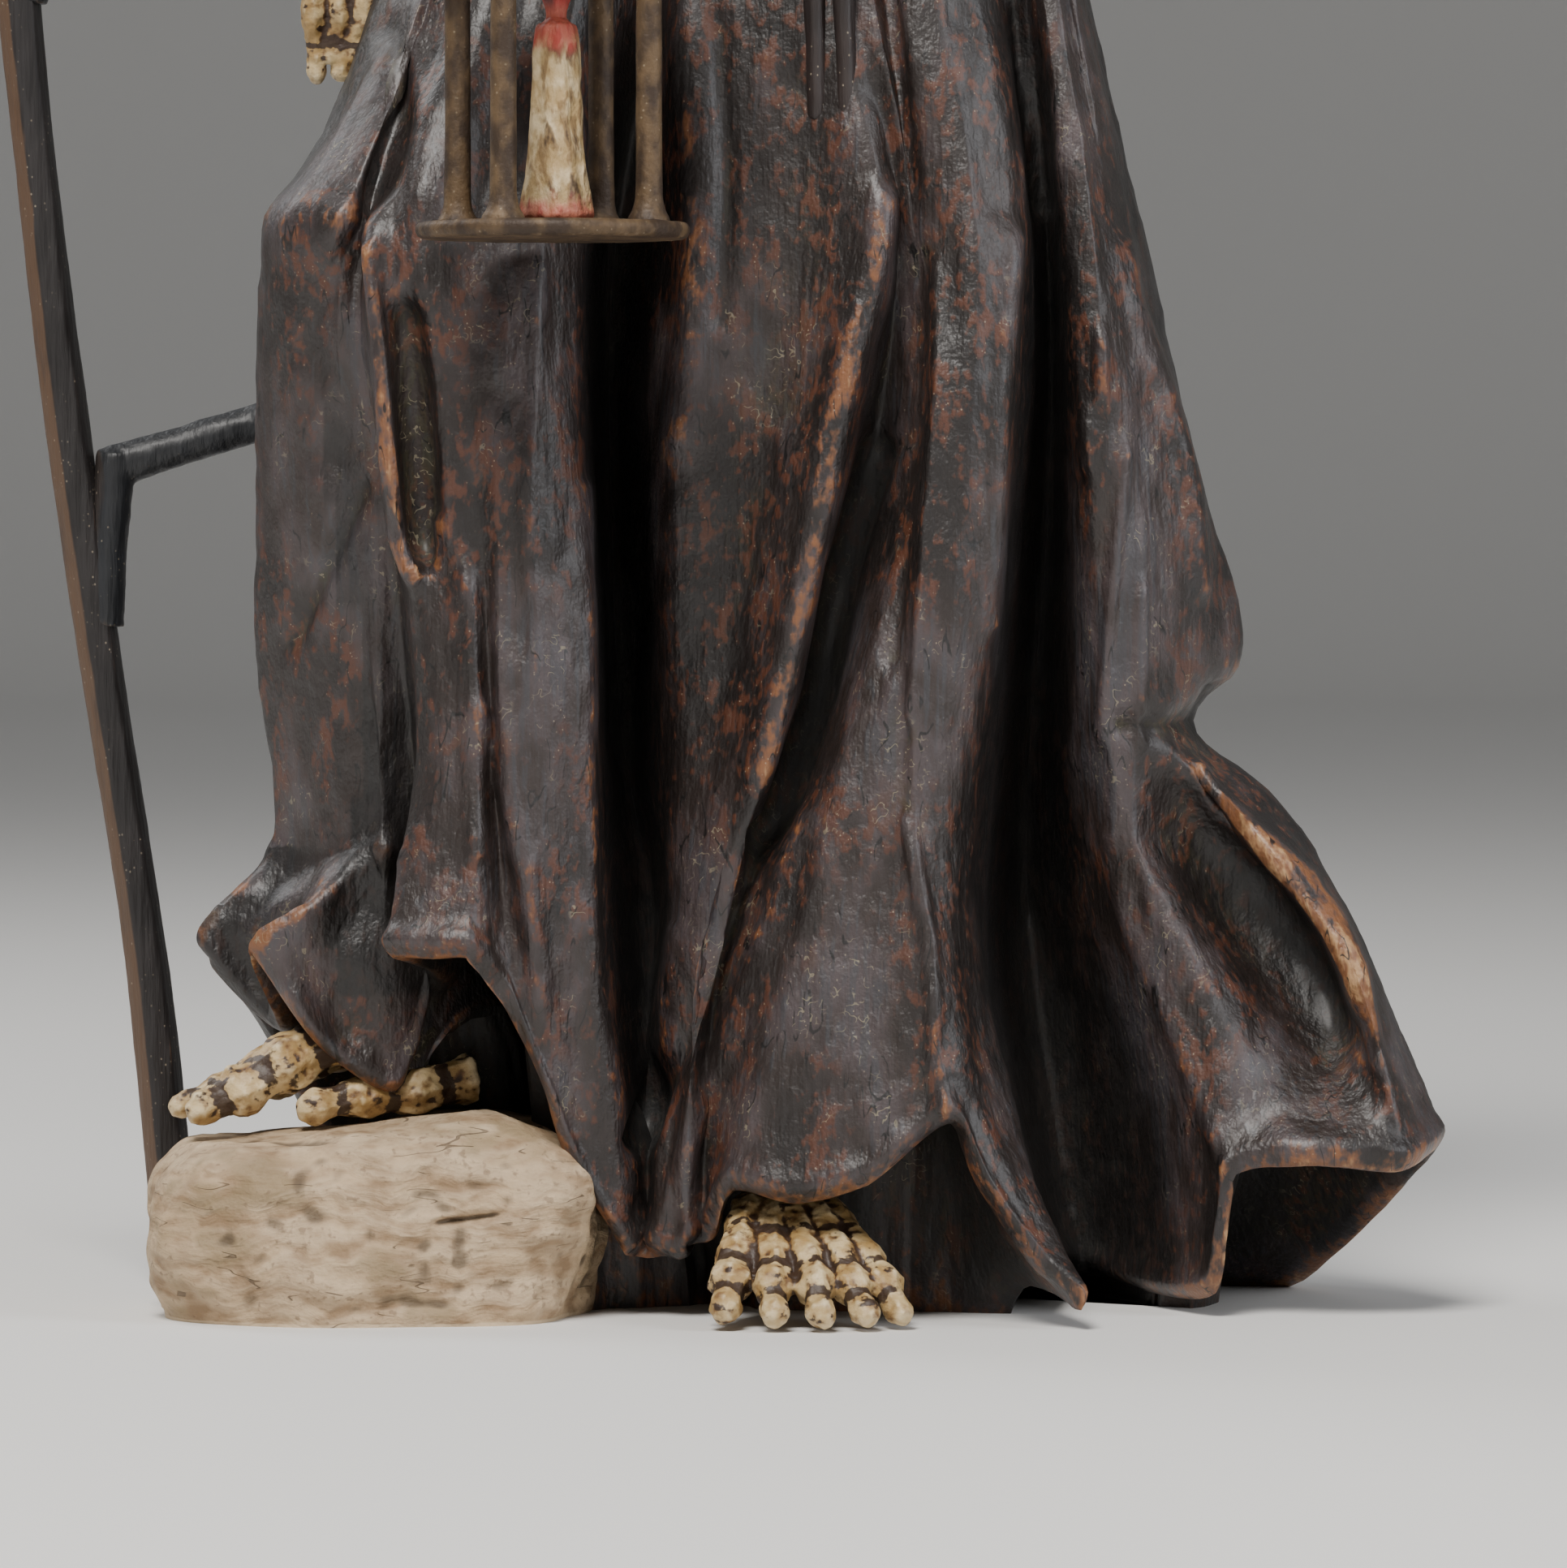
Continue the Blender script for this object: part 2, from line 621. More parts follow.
def old_metal(name, dark, warm, pale, metallic):
    p = Paint(name)
    edge, hollow = p.noted("edge"), p.noted("hollow")
    patchy = p.noise((2.6, 2.6, 4.5), 1, 5)
    gritty = p.noise(0.6, 2, 3)
    p.color = p.blend(patchy.step(0.38, 0.68), dark, warm)
    p.over((edge * 0.45 + gritty * 0.6 + patchy * 0.5).step(0.85, 1.25) * 0.75, pale)
    p.over(hollow.step(0.3, 1.4) * 0.8, tuple(0.35 * c for c in dark))
    specks = (1 - p.cells(0.9, 3).step(0.08, 0.2)) * patchy.step(0.45, 0.6)
    p.over(specks * 0.6, (0.30, 0.24, 0.16))
    rough = 0.45 + 0.3 * gritty
    return p.done(p.color, rough, p.relief(patchy * 0.35 + gritty * 0.15), metallic=metallic)


def candle_wax(foot, top):
    p = Paint("candle with red ends")
    height = p.node("ShaderNodeSeparateXYZ", None, {0: p.place}, "Z")
    stains = p.noise((1.4, 1.4, 3.4), 1, 5, p.bent(0.8, 8, 2))
    patchy = p.noise((2, 2, 3), 2, 4)
    p.color = p.blend(patchy.step(0.4, 0.68), (0.44, 0.30, 0.135), (0.70, 0.56, 0.34))
    p.over(stains.step(0.50, 0.60) * 0.7, (0.20, 0.115, 0.045))
    p.over((stains + patchy * 0.4).step(0.80, 0.90) * 0.8, (0.06, 0.032, 0.016))
    low = ((foot + 4.4 - height) / 3 + patchy * 1.6 + stains - 1.3).step(0.35, 1.1)
    high = ((height - top + 4.6) / 4 + patchy * 1.4 + stains - 1.2).step(0.3, 1.0)
    p.over(low * 0.8, (0.42, 0.085, 0.060))
    p.over(high * 0.85, (0.45, 0.055, 0.040))
    flame = ((height - top - 1.4) / 2).step(0, 1)
    p.over(flame, p.blend(patchy.step(0.4, 0.62), (0.09, 0.012, 0.012), (0.42, 0.028, 0.024)))
    normal = p.relief(stains * 0.9 + patchy * 0.7)
    return p.done(p.color, 0.45 + 0.3 * stains, normal, coat=0.15, **{"Coat Roughness": 0.3})


robe_paint, bone_paint, rock_paint = worn_robe(), old_bone(), old_rock()
shaft_paint = dark_wood("dark shaft", (0.011, 0.009, 0.009), (0.115, 0.062, 0.032), 0.75)
twig_paint = dark_wood("dark twig", (0.007, 0.008, 0.010), (0.070, 0.045, 0.030), 0.3)
brass_paint = old_metal("old brass", (0.040, 0.024, 0.014), (0.125, 0.078, 0.038), (0.27, 0.20, 0.135), 0.25)
blade_paint = old_metal("grey blade paint", (0.06, 0.058, 0.06), (0.14, 0.135, 0.135),
    (0.34, 0.31, 0.28), 0.6)
belt_paint = dark_wood("rope stain", (0.014, 0.009, 0.008), (0.12, 0.055, 0.025), 0.5)

# %% [markdown]
# ## The skirt of the robe
#
# Each fold is a line that runs down the cloth, a ridge or the bottom of a valley, with knots
# [height, x, y]. The lines start together at the waist and each one goes on to its own place on the hem.
# A ring at any height is a smooth closed curve through all the lines, so two neighbouring lines make one
# pleat. The hem is a thick carved lip round a hollow, and a core inside it stands on the floor.

# %% Fold lines
FRONT_FOLDS = {
    "outline_left": [[161, -55, -14], [148, -58.5, -20], [137.5, -65, -25], [129.5, -68.2, -25],
        [101.5, -68.8, -22], [83.5, -69.5, -20], [56, -67, -19], [47, -75, -21], [43, -75.3, -22]],
    "first_curl_under": [[161, -51, -22], [137.5, -62, -33], [129.5, -65, -34], [100, -64, -30],
        [56, -61, -25], [47, -66, -24], [34, -67, -22]],
    "second_curl_tip": [[161, -47, -27], [137, -56, -38], [129, -59, -39], [100, -60, -33],
        [57, -56, -30], [51, -60, -34], [45, -69.5, -34]],
    "second_curl_edge": [[129, -57, -38], [100, -57, -34], [57, -53, -32], [47, -58, -35], [33, -60.6, -35]],
    "second_curl_bottom": [[129, -55.5, -37], [100, -54, -35.5], [50, -52.5, -33], [27, -51, -32]],
    "shadow_behind_pleat": [[130, -54.5, -37], [97, -51.5, -36], [70, -49, -32], [40, -47, -29]],
    "pleat_left": [[161, -44, -30], [140, -50, -40], [130.5, -53.5, -43], [105.5, -51.3, -44.5],
        [88, -48.3, -42.5], [70.3, -47.9, -42.5], [57, -50, -44.5], [44.8, -52.1, -47]],
    "teardrop": [[140, -48, -42], [128, -50, -44.5], [118, -49, -42.5], [105, -48, -40],
        [95, -47.3, -40], [88, -46, -43.5], [57, -46, -47], [44.8, -47, -50]],
    "pleat_right": [[140, -45, -43], [128, -46.5, -45], [112, -45.5, -45], [97, -44.3, -45],
        [89.5, -41.8, -45.5], [70, -41.2, -46.5], [57, -40.7, -48.5], [44.8, -41.5, -51.5]],
    "panel_left": [[130, -41, -43], [85, -39.5, -45], [57, -38, -45], [39.9, -37.4, -48]],
    "pleat_facet": [[130, -36, -43.5], [80, -38, -47.5], [53.7, -34.5, -48], [26.5, -31.6, -46.5]],
    "panel_right": [[161, -29, -35], [127, -32.5, -43], [79, -31.5, -46.5], [48, -29.5, -45.5],
        [17, -28, -44]],
    "first_valley_lip": [[161, -26, -32], [128, -28.8, -38], [79, -27.3, -43], [48, -26.9, -43.5],
        [21.5, -24, -42.5], [8.2, -22.2, -41.5]],
    "first_valley": [[161, -19, -24], [140, -23, -20], [125, -25, -17], [100, -25, -16], [71, -23.5, -17],
        [51, -20.5, -20], [31, -20.3, -26], [7.6, -20.3, -38]],
    "first_valley_right": [[161, -15.5, -32], [130, -14.5, -36], [108, -16.6, -36], [70, -17, -35],
        [47, -16.8, -36.5], [20, -18.8, -40], [7.6, -18.6, -40.5]],
    "middle_panel": [[161, -8, -34], [130, -6, -37], [90, -9, -37.5], [47, -15.3, -39.5], [7.4, -17, -42]],
    "slanting_ridge": [[161, 2, -36], [136, 8.3, -41.5], [119, 5.2, -43.5], [99, 1, -44.2],
        [66.5, -6, -43.8], [35, -14.2, -43.5], [8.5, -15.3, -43]],
    "slanting_valley": [[161, 5, -36], [136, 10.3, -38], [105.7, 7.6, -34.5], [76.5, 1, -34.5],
        [57, -6.5, -38], [40, -11.7, -39], [9.5, -13.6, -41.5]],
    "centre_left": [[161, 7.5, -36.5], [136, 12, -39.5], [105, 11.5, -41.5], [75, 5.5, -45],
        [51, -0.8, -47.5], [28.5, -6, -48.5], [16.4, -10.8, -47.5]],
    "centre_middle": [[120, 13.5, -42.5], [85, 10.5, -46], [55, 5, -48.5], [15.1, -2.3, -51.5]],
    "centre_right": [[120, 14.3, -43.5], [74, 11.5, -47.5], [40, 9.5, -51], [17.5, 6.5, -53.5]],
    "centre_edge": [[161, 11, -38], [128, 15.3, -42.5], [112, 14.8, -46], [74, 12.3, -48.5],
        [53.5, 12.9, -50.5], [25, 17, -54]],
    "bright_band": [[161, 16, -38.5], [128, 20, -44.5], [91, 17.5, -48], [53.5, 16, -48], [16, 21.5, -54.5]],
    "band_right": [[161, 20.5, -36], [132, 24.6, -41], [99, 22.4, -44.5], [60, 19, -43], [40, 19.5, -45],
        [26, 22, -49], [7, 28.5, -56]],
    "tongue_tip": [[161, 22.5, -33], [130, 26.3, -35], [90, 23.5, -36], [50, 20.3, -36], [20, 26, -47],
        [3, 33.2, -57]],
    "second_valley_left": [[130, 27.5, -29], [80, 24.5, -27], [40, 22.3, -27], [6, 29.5, -38]],
    "second_valley": [[161, 26.5, -25], [126, 29.5, -19], [99, 29.5, -15], [61, 27, -11], [41, 28, -10],
        [3, 34, -14]],
    "second_valley_right": [[161, 28.5, -28], [121, 32, -33], [101.5, 34, -34.5], [67, 34.8, -31],
        [49, 38, -31], [27, 46, -37], [3, 48.5, -40]],
    "scoop_left": [[161, 30.5, -27.5], [121, 35.3, -34.5], [72, 36.8, -34], [58, 39.5, -34],
        [38, 49, -38], [17.8, 51.5, -43]],
    "scoop": [[130, 36, -31.5], [100, 40, -33.5], [71, 40.5, -33.5], [62, 46, -29], [48, 53.5, -27],
        [30, 61, -37.5], [20.1, 60.2, -47]],
    "scoop_right": [[130, 37.5, -29.5], [100, 43.5, -30], [71, 44, -31], [62, 51, -27.5], [52, 57.5, -26.5],
        [38, 65, -30], [28, 67.5, -40], [19.5, 66.5, -46]],
    "worn_ridge": [[161, 32.5, -23], [124, 39.8, -28], [101, 47, -26.5], [80, 47.7, -26], [70, 46.3, -27.5],
        [57, 55.5, -34.5], [42.5, 65.9, -39], [18.6, 72.5, -44]],
    "outline_right": [[161, 35, -14], [128, 42.5, -18], [108, 47, -18], [87.5, 53, -18], [80, 53.4, -18],
        [71, 48.1, -20], [63.7, 57.3, -21], [50, 65.9, -24], [31.6, 74, -29], [20.7, 77.9, -33]],
    "right_corner_back": [[161, 34, -4], [96, 48, -6], [82, 50, -6], [71, 46, -7], [60, 56, -8],
        [30, 69.5, -15], [12, 72.5, -18]],
}

RIGHT_FOLDS = {
    "right_side": [[161, 32, 6], [82, 46, 10], [71, 45, 10], [50, 54, 7], [0, 62, 3]],
}

LEFT_FOLDS = {
    "left_back": [[161, -49, 14], [100, -58, 20], [45, -56, 18], [0, -54, 20]],
    "left_side": [[161, -53, 6], [130, -62, 4], [60, -62, 6], [30, -62, 6], [14, -61, 6]],
    "left_front": [[161, -55, -5], [130, -66, -10], [60, -65, -8], [46, -70, -10], [33, -69, -10]],
}

WAIST_HEIGHT, BREAK_HEIGHT = 213, 60
WAIST = {"x": -4, "y": 0, "half_width": 30, "half_depth": 21}
BACK_FLUTES = 5
BACK = {"top_width": 44, "hem_width": 60, "top_depth": 30, "hem_depth": 45, "flute": 0.09}


def back_folds():
    """Plain flutes close the back: an oval that widens downwards, with every second line drawn in."""
    lines = []
    for i in range(2 * BACK_FLUTES - 1):
        turn = math.radians(mix(14, 158, (i + 0.5) / (2 * BACK_FLUTES - 1)))
        line = []
        for z in (161, 110, 60, 20, 0):
            low = 1 - z / 161
            drawn = 1 - BACK["flute"] * (0.5 + low) if i % 2 else 1
            x = mix(-9, 0, low) + mix(BACK["top_width"], BACK["hem_width"], low) * drawn * math.cos(turn)
            line.append([z, x, mix(BACK["top_depth"], BACK["hem_depth"], low) * drawn * math.sin(turn)])
        lines.append(line)
    return lines


def hang(folds, start, end):
    """Hangs each line from its own place on the oval of the waist."""
    hung = []
    for i, knots in enumerate(folds):
        turn = math.radians(mix(start, end, i / (len(folds) - 1) if len(folds) > 1 else 0))
        x = WAIST["x"] + WAIST["half_width"] * math.cos(turn)
        y = WAIST["y"] + WAIST["half_depth"] * math.sin(turn)
        hung.append([[WAIST_HEIGHT, x, y], *knots])
    return hung


FOLDS = [
    *hang(list(FRONT_FOLDS.values()), -172, -12),
    *hang(list(RIGHT_FOLDS.values()), 0, 0),
    *hang(back_folds(), 14, 150),
    *hang(list(LEFT_FOLDS.values()), 160, 181),
]
print(len(FOLDS), "fold lines, of which", len(FRONT_FOLDS), "in front")

# %% Skirt
# Rows below and above the height where the level rings begin, and points between two fold lines.
GRID = {"low_rows": 52, "high_rows": 112, "front_points": 12, "back_points": 7}
CRISPNESS = 0.22  # how far the cloth between two lines is pulled towards a flat facet

# The rings of the underside, from its middle outwards:
# [size, how far up the hollow the ring lies, how far it is pressed flat on the floor].
UNDERSIDE = [(0.02, 0, 1), (0.3, 0, 1), (0.55, 0, 1), (0.655, 0, 1), (0.66, 0.06, 1), (0.68, 0.45, 0.5),
    (0.72, 0.86, 0.12), (0.76, 1, 0), (0.82, 0.96, 0), (0.88, 0.75, 0), (0.93, 0.38, 0), (0.955, 0.08, 0),
    (0.972, -0.02, 0), (0.988, -0.02, 0)]
UNDERSIDE_Y, HOLLOW_HEIGHT = 10, 9
# Under the right front pleats the rings draw in towards a place further right, so that they stay behind
# the wall of the second valley. The shift grows and fades along x, and it starts at the front.
UNDER_PLEATS = {"x": 27, "from": 30, "full": 36, "fade": 52, "end": 78, "front": 12}


def skirt_grid():
    hems = np.array([knots[-1][0] for knots in FOLDS], float)
    hems = np.minimum(hems, BREAK_HEIGHT)
    # The lower rows crowd a little towards the hem.
    low = np.linspace(0, 1, GRID["low_rows"], endpoint=False) ** 1.15
    rows = [hems + (BREAK_HEIGHT - hems) * share for share in low]
    rows += [np.full(len(FOLDS), z) for z in np.linspace(BREAK_HEIGHT, WAIST_HEIGHT, GRID["high_rows"])]
    z = np.array(rows)
    corners = np.empty((*z.shape, 3))
    for k, knots in enumerate(FOLDS):
        corners[:, k, :2] = read(knots, z[:, k])
        corners[:, k, 2] = z[:, k]
    front = len(FRONT_FOLDS) - 1
    counts = [GRID["front_points"]] * front + [GRID["back_points"]] * (len(FOLDS) - front)
    grid = round_through(corners, counts, CRISPNESS)
    grid[..., 2] = np.maximum(grid[..., 2], 0)
    return grid


def underside(hem):
    """A rounded lip, a shallow hollow above it and a core that stands on the floor."""
    at = UNDER_PLEATS
    over = step(at["from"], at["full"], hem[:, 0]) - step(at["fade"], at["end"], hem[:, 0])
    moved = at["x"] * over * step(0, at["front"], -hem[:, 1])
    lift = np.minimum(HOLLOW_HEIGHT, 0.6 * hem[:, 2])
    rings = []
    for size, up, flat in UNDERSIDE:
        ring = hem.copy()
        ring[:, 0] = mix(moved * step(0.45, 0.66, size), hem[:, 0], size)
        ring[:, 1] = mix(UNDERSIDE_Y, hem[:, 1], size)
        ring[:, 2] = np.maximum((hem[:, 2] + up * lift) * (1 - flat), 0)
        rings.append(ring)
    return rings


def grid_normals(grid):
    """Outward directions on a grid whose rings turn anticlockwise."""
    round_ = np.roll(grid, -1, axis=1) - np.roll(grid, 1, axis=1)
    up = np.gradient(grid, axis=0)
    return unit(np.cross(round_, up))


def gouge(grid, normals, path, width, depth):
    """Runs a gouge along a path of (x, z) seen from the front. A negative depth leaves a ridge."""
    path = np.array(path, float)
    away = np.full(grid.shape[:2], 1e9)
    for a, b in zip(path, path[1:]):
        along = b - a
        x, z = grid[..., 0] - a[0], grid[..., 2] - a[1]
        t = np.clip((x * along[0] + z * along[1]) / (along @ along), 0, 1)
        away = np.minimum(away, np.hypot(x - t * along[0], z - t * along[1]))
    front = (grid[..., 1] < 0) * step(-0.35, 0.15, -normals[..., 1])
    bite = np.exp(-((away / width) ** 2)) * front
    return grid - normals * (depth * bite)[..., None], bite * (depth < 0)


# Most ridges have lost a little paint; these have lost none or a lot.
RUBBED = {"slanting ridge": 0, "top of the knee": 0, "ridge right of the first valley": 0, "thigh ridge": 0,
    "worn ridge": 1, "worn edge of the pleat": 0.5, "rim of the teardrop": 0.6}
# Carved lines, seen from the front: [width, depth, path of (x, z)]. Ridges have a negative depth.
LINES = {
    "ridge above the second curl": [2.2, -1.3, [(-53, 57), (-58, 54), (-64, 50), (-69, 46.5)]],
    "bowl of the second curl": [3.6, 1.6, [(-56, 49.5), (-60, 43), (-57, 36)]],
    "rim of the second curl": [1.1, -0.8, [(-64, 39), (-60.6, 33), (-57, 29.6), (-53, 27.3), (-48, 29)]],
    "ridge of the first curl": [1.8, -0.9, [(-67, 56), (-69, 52), (-73, 49.5), (-75, 47)]],
    "top of the knee": [3.2, -1.3, [(-66, 134.5), (-60, 135.5), (-55, 133)]],
    "worn edge of the pleat": [0.9, -1.5, [(-53.5, 130), (-53, 125), (-52, 116), (-51.3, 105),
        (-50.3, 96), (-48.6, 91)]],
    "teardrop": [1.9, 1.8, [(-49.5, 122), (-48.6, 112), (-47.6, 100), (-47, 94.5)]],
    "rim of the teardrop": [0.8, -1.1, [(-45, 97), (-44.6, 92.5), (-46.3, 89.8), (-48.5, 90.5)]],
    "right edge of the pleat": [1.1, -0.8, [(-41.8, 90), (-41.2, 79), (-41.2, 70), (-40.7, 57)]],
    "facet of the pleat": [1.3, -0.8, [(-40.3, 75), (-34.5, 54), (-32.7, 39)]],
    "groove under the knee": [1.2, 1.1, [(-55, 101.5), (-60, 91), (-64.5, 82)]],
    "hollow under the knee": [3.6, 1.2, [(-60, 127), (-61, 118), (-58, 106)]],
    "left lip of the first valley": [1.1, -0.7, [(-28, 101), (-27.3, 79), (-27, 48), (-25.5, 36),
        (-21, 11)]],
    "ridge right of the first valley": [2.2, -0.9, [(-16.4, 161), (-15, 144), (-14.3, 130), (-14.6, 117),
        (-16.4, 107)]],
    "crease beside it": [1.2, 0.9, [(-11.5, 158), (-10.5, 140), (-11, 122)]],
    "slanting ridge": [2.3, -1.2, [(8.6, 136), (7.7, 126), (5, 119), (2.3, 110), (1, 99), (-0.4, 91),
        (-6, 67)]],
    "slanting valley": [1.5, 2.2, [(7.8, 106), (6.5, 101), (3.7, 91), (1, 76.5), (-4, 61), (-8, 57),
        (-14, 41), (-21, 22)]],
    "lower ridge": [1.2, -0.8, [(-16.6, 47), (-20.2, 30)]],
    "left border of the centre": [1.4, -0.9, [(-0.5, 61), (-4, 53), (-7, 43), (-12, 30), (-15.3, 21),
        (-19, 10)]],
    "crisp right border of the centre": [0.9, -1.1, [(11.5, 61), (12.9, 53), (14, 47), (14.6, 39),
        (14.9, 32), (16.4, 26)]],
    "left edge of the bright band": [1.2, -0.7, [(15.3, 128), (14.8, 112), (13.9, 103), (13, 91),
        (12, 74)]],
    "groove left of the band": [1.6, 1.3, [(12.8, 130), (12, 111), (10.5, 96), (9.5, 81)]],
    "right edge of the bright band": [1.3, -0.9, [(24.6, 132), (23.7, 121), (22.8, 112), (22.4, 99),
        (21.5, 85)]],
    "upper crease": [0.8, 1.1, [(25, 161), (26.2, 151), (28.5, 136)]],
    "small upper ridge": [0.9, -0.9, [(35.4, 120), (35.4, 113)]],
    "small lower ridge": [0.9, -0.8, [(33.8, 110), (33.8, 104.5)]],
    "border of the right panel": [0.9, -0.9, [(38.4, 106), (37, 91), (35.7, 71)]],
    "ridge of the right panel": [0.9, -0.8, [(40.3, 89), (40.3, 71)]],
    "outer facet": [1.2, -1.0, [(38.6, 131), (39.6, 124), (44, 113), (47.2, 101), (48, 89)]],
    "crease above the notch": [1.3, 1.4, [(50, 76), (48.5, 73), (44, 72), (38, 72.5)]],
    "worn ridge": [1.7, -1.7, [(47, 66), (48.7, 63), (54.4, 58), (60.2, 53), (63.6, 48), (66, 42.5),
        (67.6, 31.5)]],
    "scoop": [4.6, 1.8, [(45, 59), (51, 52), (57.5, 43.5), (63, 33)]],
    "line left of the scoop": [1.2, -0.9, [(36.6, 58.5), (38.4, 49), (43, 38.5), (47.5, 27), (51, 17.5)]],
    "hollow of the centre left": [2.4, 0.8, [(-22, 88), (-23, 70)]],
    "long panel line": [1.0, -0.6, [(-33, 128), (-34.5, 100), (-33.5, 80)]],
    "long panel hollow": [2.2, 0.7, [(-38, 112), (-37.5, 96), (-36, 84)]],
    "thigh fold": [1.8, 0.9, [(-52, 158), (-50, 146), (-51, 135)]],
    "thigh ridge": [1.6, -0.7, [(-48.5, 156), (-47, 145), (-48, 136)]],
    "broad hollow of the middle": [3.5, 1.0, [(-1, 150), (0, 132), (-3, 112)]],
    "upper right hollow": [3.0, 0.8, [(18, 158), (20.5, 146), (22, 136)]],
    "peg": [0.7, -1.2, [(7.9, 105.4), (8.1, 105.2)]],
}


def carve_skirt():
    """The skirt, and how far each point of its grid is rubbed bare."""
    grid = skirt_grid()
    normals = grid_normals(grid)
    flat = grid.reshape(-1, 3)
    # Tool marks: long soft hollows down the cloth, and small facets across them.
    marks = 0.40 * bumps(flat * [1, 1, 0.28], 5.5, 1) + 0.24 * bumps(flat * [1, 1, 0.6], 2.4, 2)
    marks += 0.10 * bumps(flat, 1.2, 3)
    grid = grid + normals * marks.reshape(grid.shape[:2])[..., None]
    worn = np.zeros(grid.shape[:2])
    for name, (width, depth, path) in LINES.items():
        grid, ridge = gouge(grid, normals, path, width, depth)
        worn = np.maximum(worn, RUBBED.get(name, 0.3) * ridge)
    # The hem is a little thicker than the cloth above it, and its edge is rounded off.
    above = grid[..., 2] - grid[:1, :, 2]
    lip = 0.55 * np.exp(-(((above - 2) / 1.6) ** 2)) - 1.3 * np.clip(1 - above / 1.8, 0, 1) ** 2
    grid = grid + normals * lip[..., None]
    worn = np.maximum(worn, 0.7 * (1 - step(0.6, 2.6, above)))
    grid[..., 2] = np.maximum(grid[..., 2], 0)
    rings = [*underside(grid[0]), *grid]
    top = grid[-1]
    for size in (0.8, 0.4, 0.1):
        rings.append(np.concatenate([mix(top.mean(0)[:2], top[:, :2], size), top[:, 2:]], axis=1))
    return mesh_object("robe_skirt", [sew(rings)]), worn


def note_valleys(made, worn):
    """Notes how far each point lies behind the front of the pleats beside it, and wear along the hem."""
    points = points_of(made)
    columns = np.round((points[:, 0] + 80) / 1.6).astype(int)
    rows = np.round(points[:, 2] / 6).astype(int)
    front = np.full((120, 60), 1e9)
    np.minimum.at(front, (columns, rows), points[:, 1])
    near = np.array(front)
    for shift in (1, 2, 3, 4):
        near[shift:] = np.minimum(near[shift:], front[:-shift])
        near[:-shift] = np.minimum(near[:-shift], front[shift:])
    behind = points[:, 1] - near[columns, rows]
    note(made, "deep", step(7, 14, behind) * (points[:, 1] < -2))
    edge = np.empty(len(points), np.float32)
    made.data.attributes["edge"].data.foreach_get("value", edge)
    sides = worn.shape[1]
    under = len(UNDERSIDE)
    rubbed = np.zeros(len(points))
    rubbed[under * sides : (under + len(worn)) * sides] = worn.reshape(-1)
    rubbed[(under - 3) * sides : under * sides] = 0.7
    edge = np.minimum(edge, 0.95) + 0.55 * rubbed
    made.data.attributes["edge"].data.foreach_set("value", edge.astype(np.float32))


skirt, skirt_wear = carve_skirt()
weather(skirt, 5, 45)
note_valleys(skirt, skirt_wear)
ready(skirt, "figure", robe_paint, 80)

# %% [markdown]
# ## The upper body
#
# The photo ends at the thigh, so the upper body is a plainer guess in the same manner: a chest with
# shallow upright folds, a short mantle, wide sleeves that are hollow at the cuff, and a peaked hood.

# %% Chest, mantle and sleeves
TORSO = [[206, -4, 0, 31, 22], [214, -4, 0, 31.5, 22.5], [224, -4, 0, 35, 25], [244, -3, 1, 39, 27],
    [266, -2, 2, 42, 26], [282, -2, 3, 40, 23], [294, -2, 3, 30, 19], [304, -2, 3, 20, 17]]
MANTLE = [[262, -2, 4, 57, 30], [271, -2, 4, 56, 30], [281, -2, 4, 49, 28.5], [291, -2, 4, 38, 26],
    [300, -2, 3, 28, 24], [308, -2, 2, 24, 22]]
RIGHT_SLEEVE = [[(-26, 3, 284), 8, 10], [(-44, 4, 268), 12, 14], [(-53, 5, 238), 12, 15],
    [(-56, 4, 212), 12, 17], [(-57, 2, 190), 13, 20]]
LEFT_SLEEVE = [[(22, 3, 284), 8, 10], [(41, 5, 267), 12, 13], [(49, 6, 244), 13, 13],
    [(45, -6, 225), 12, 14], [(28, -30, 211), 10, 18], [(9, -47, 203), 9.5, 22]]
LEFT_ARM_SIDE = (0.7, -0.75, 0)


CUFF_SIDES = 72


def torso_folds(turn, z):
    return 1 + 0.03 * np.cos(11 * turn + z / 23) + 0.012 * np.cos(23 * turn - z / 11)


def mantle_folds(turn, z):
    return 1 - 0.055 * np.clip((300 - z) / 40, 0, 1) * np.cos(9 * turn + 0.6) ** 3


def sleeve(stations, across, drop):
    """The cloth of a sleeve, and the hollow that is cut into its cuff."""
    path = smooth(stations, 14)
    rings = limb(path, across, CUFF_SIDES)
    turn = circle(CUFF_SIDES)
    share = np.linspace(0, 1, len(rings))[:, None]
    wrinkles = 1 + share * (0.035 * np.cos(7 * turn + 5 * share) + 0.02 * np.cos(15 * turn - 9 * share))
    middle = rings.mean(1, keepdims=True)
    rings = middle + (rings - middle) * wrinkles[..., None]
    (end, width, depth), before = stations[-1], stations[-2][0]
    end = np.array(end, float)
    out = unit(end - np.array(before, float))
    hollow = [[end - out * drop, width * 0.4, depth * 0.35],
        [end - out * drop * 0.5, width * 0.72, depth * 0.68], [end + out * 1.5, width * 0.86, depth * 0.86]]
    return sew(rings), sew(limb(smooth(hollow, 4), across, 40))


def tool_marks(made, depth, size, seed):
    """Shallow marks of the chisel all over a carved piece."""
    points = points_of(made)
    marks = bumps(points * [1, 1, 0.45], size, seed) + 0.5 * bumps(points, size * 0.45, seed + 1)
    set_points(made, points + normals_of(made) * (depth * marks)[:, None])
    return made


def plain_cloth(made):
    """Paints a piece of the upper robe, which has no deep valleys."""
    note(made, "deep", 0)
    return ready(made, "figure", robe_paint)


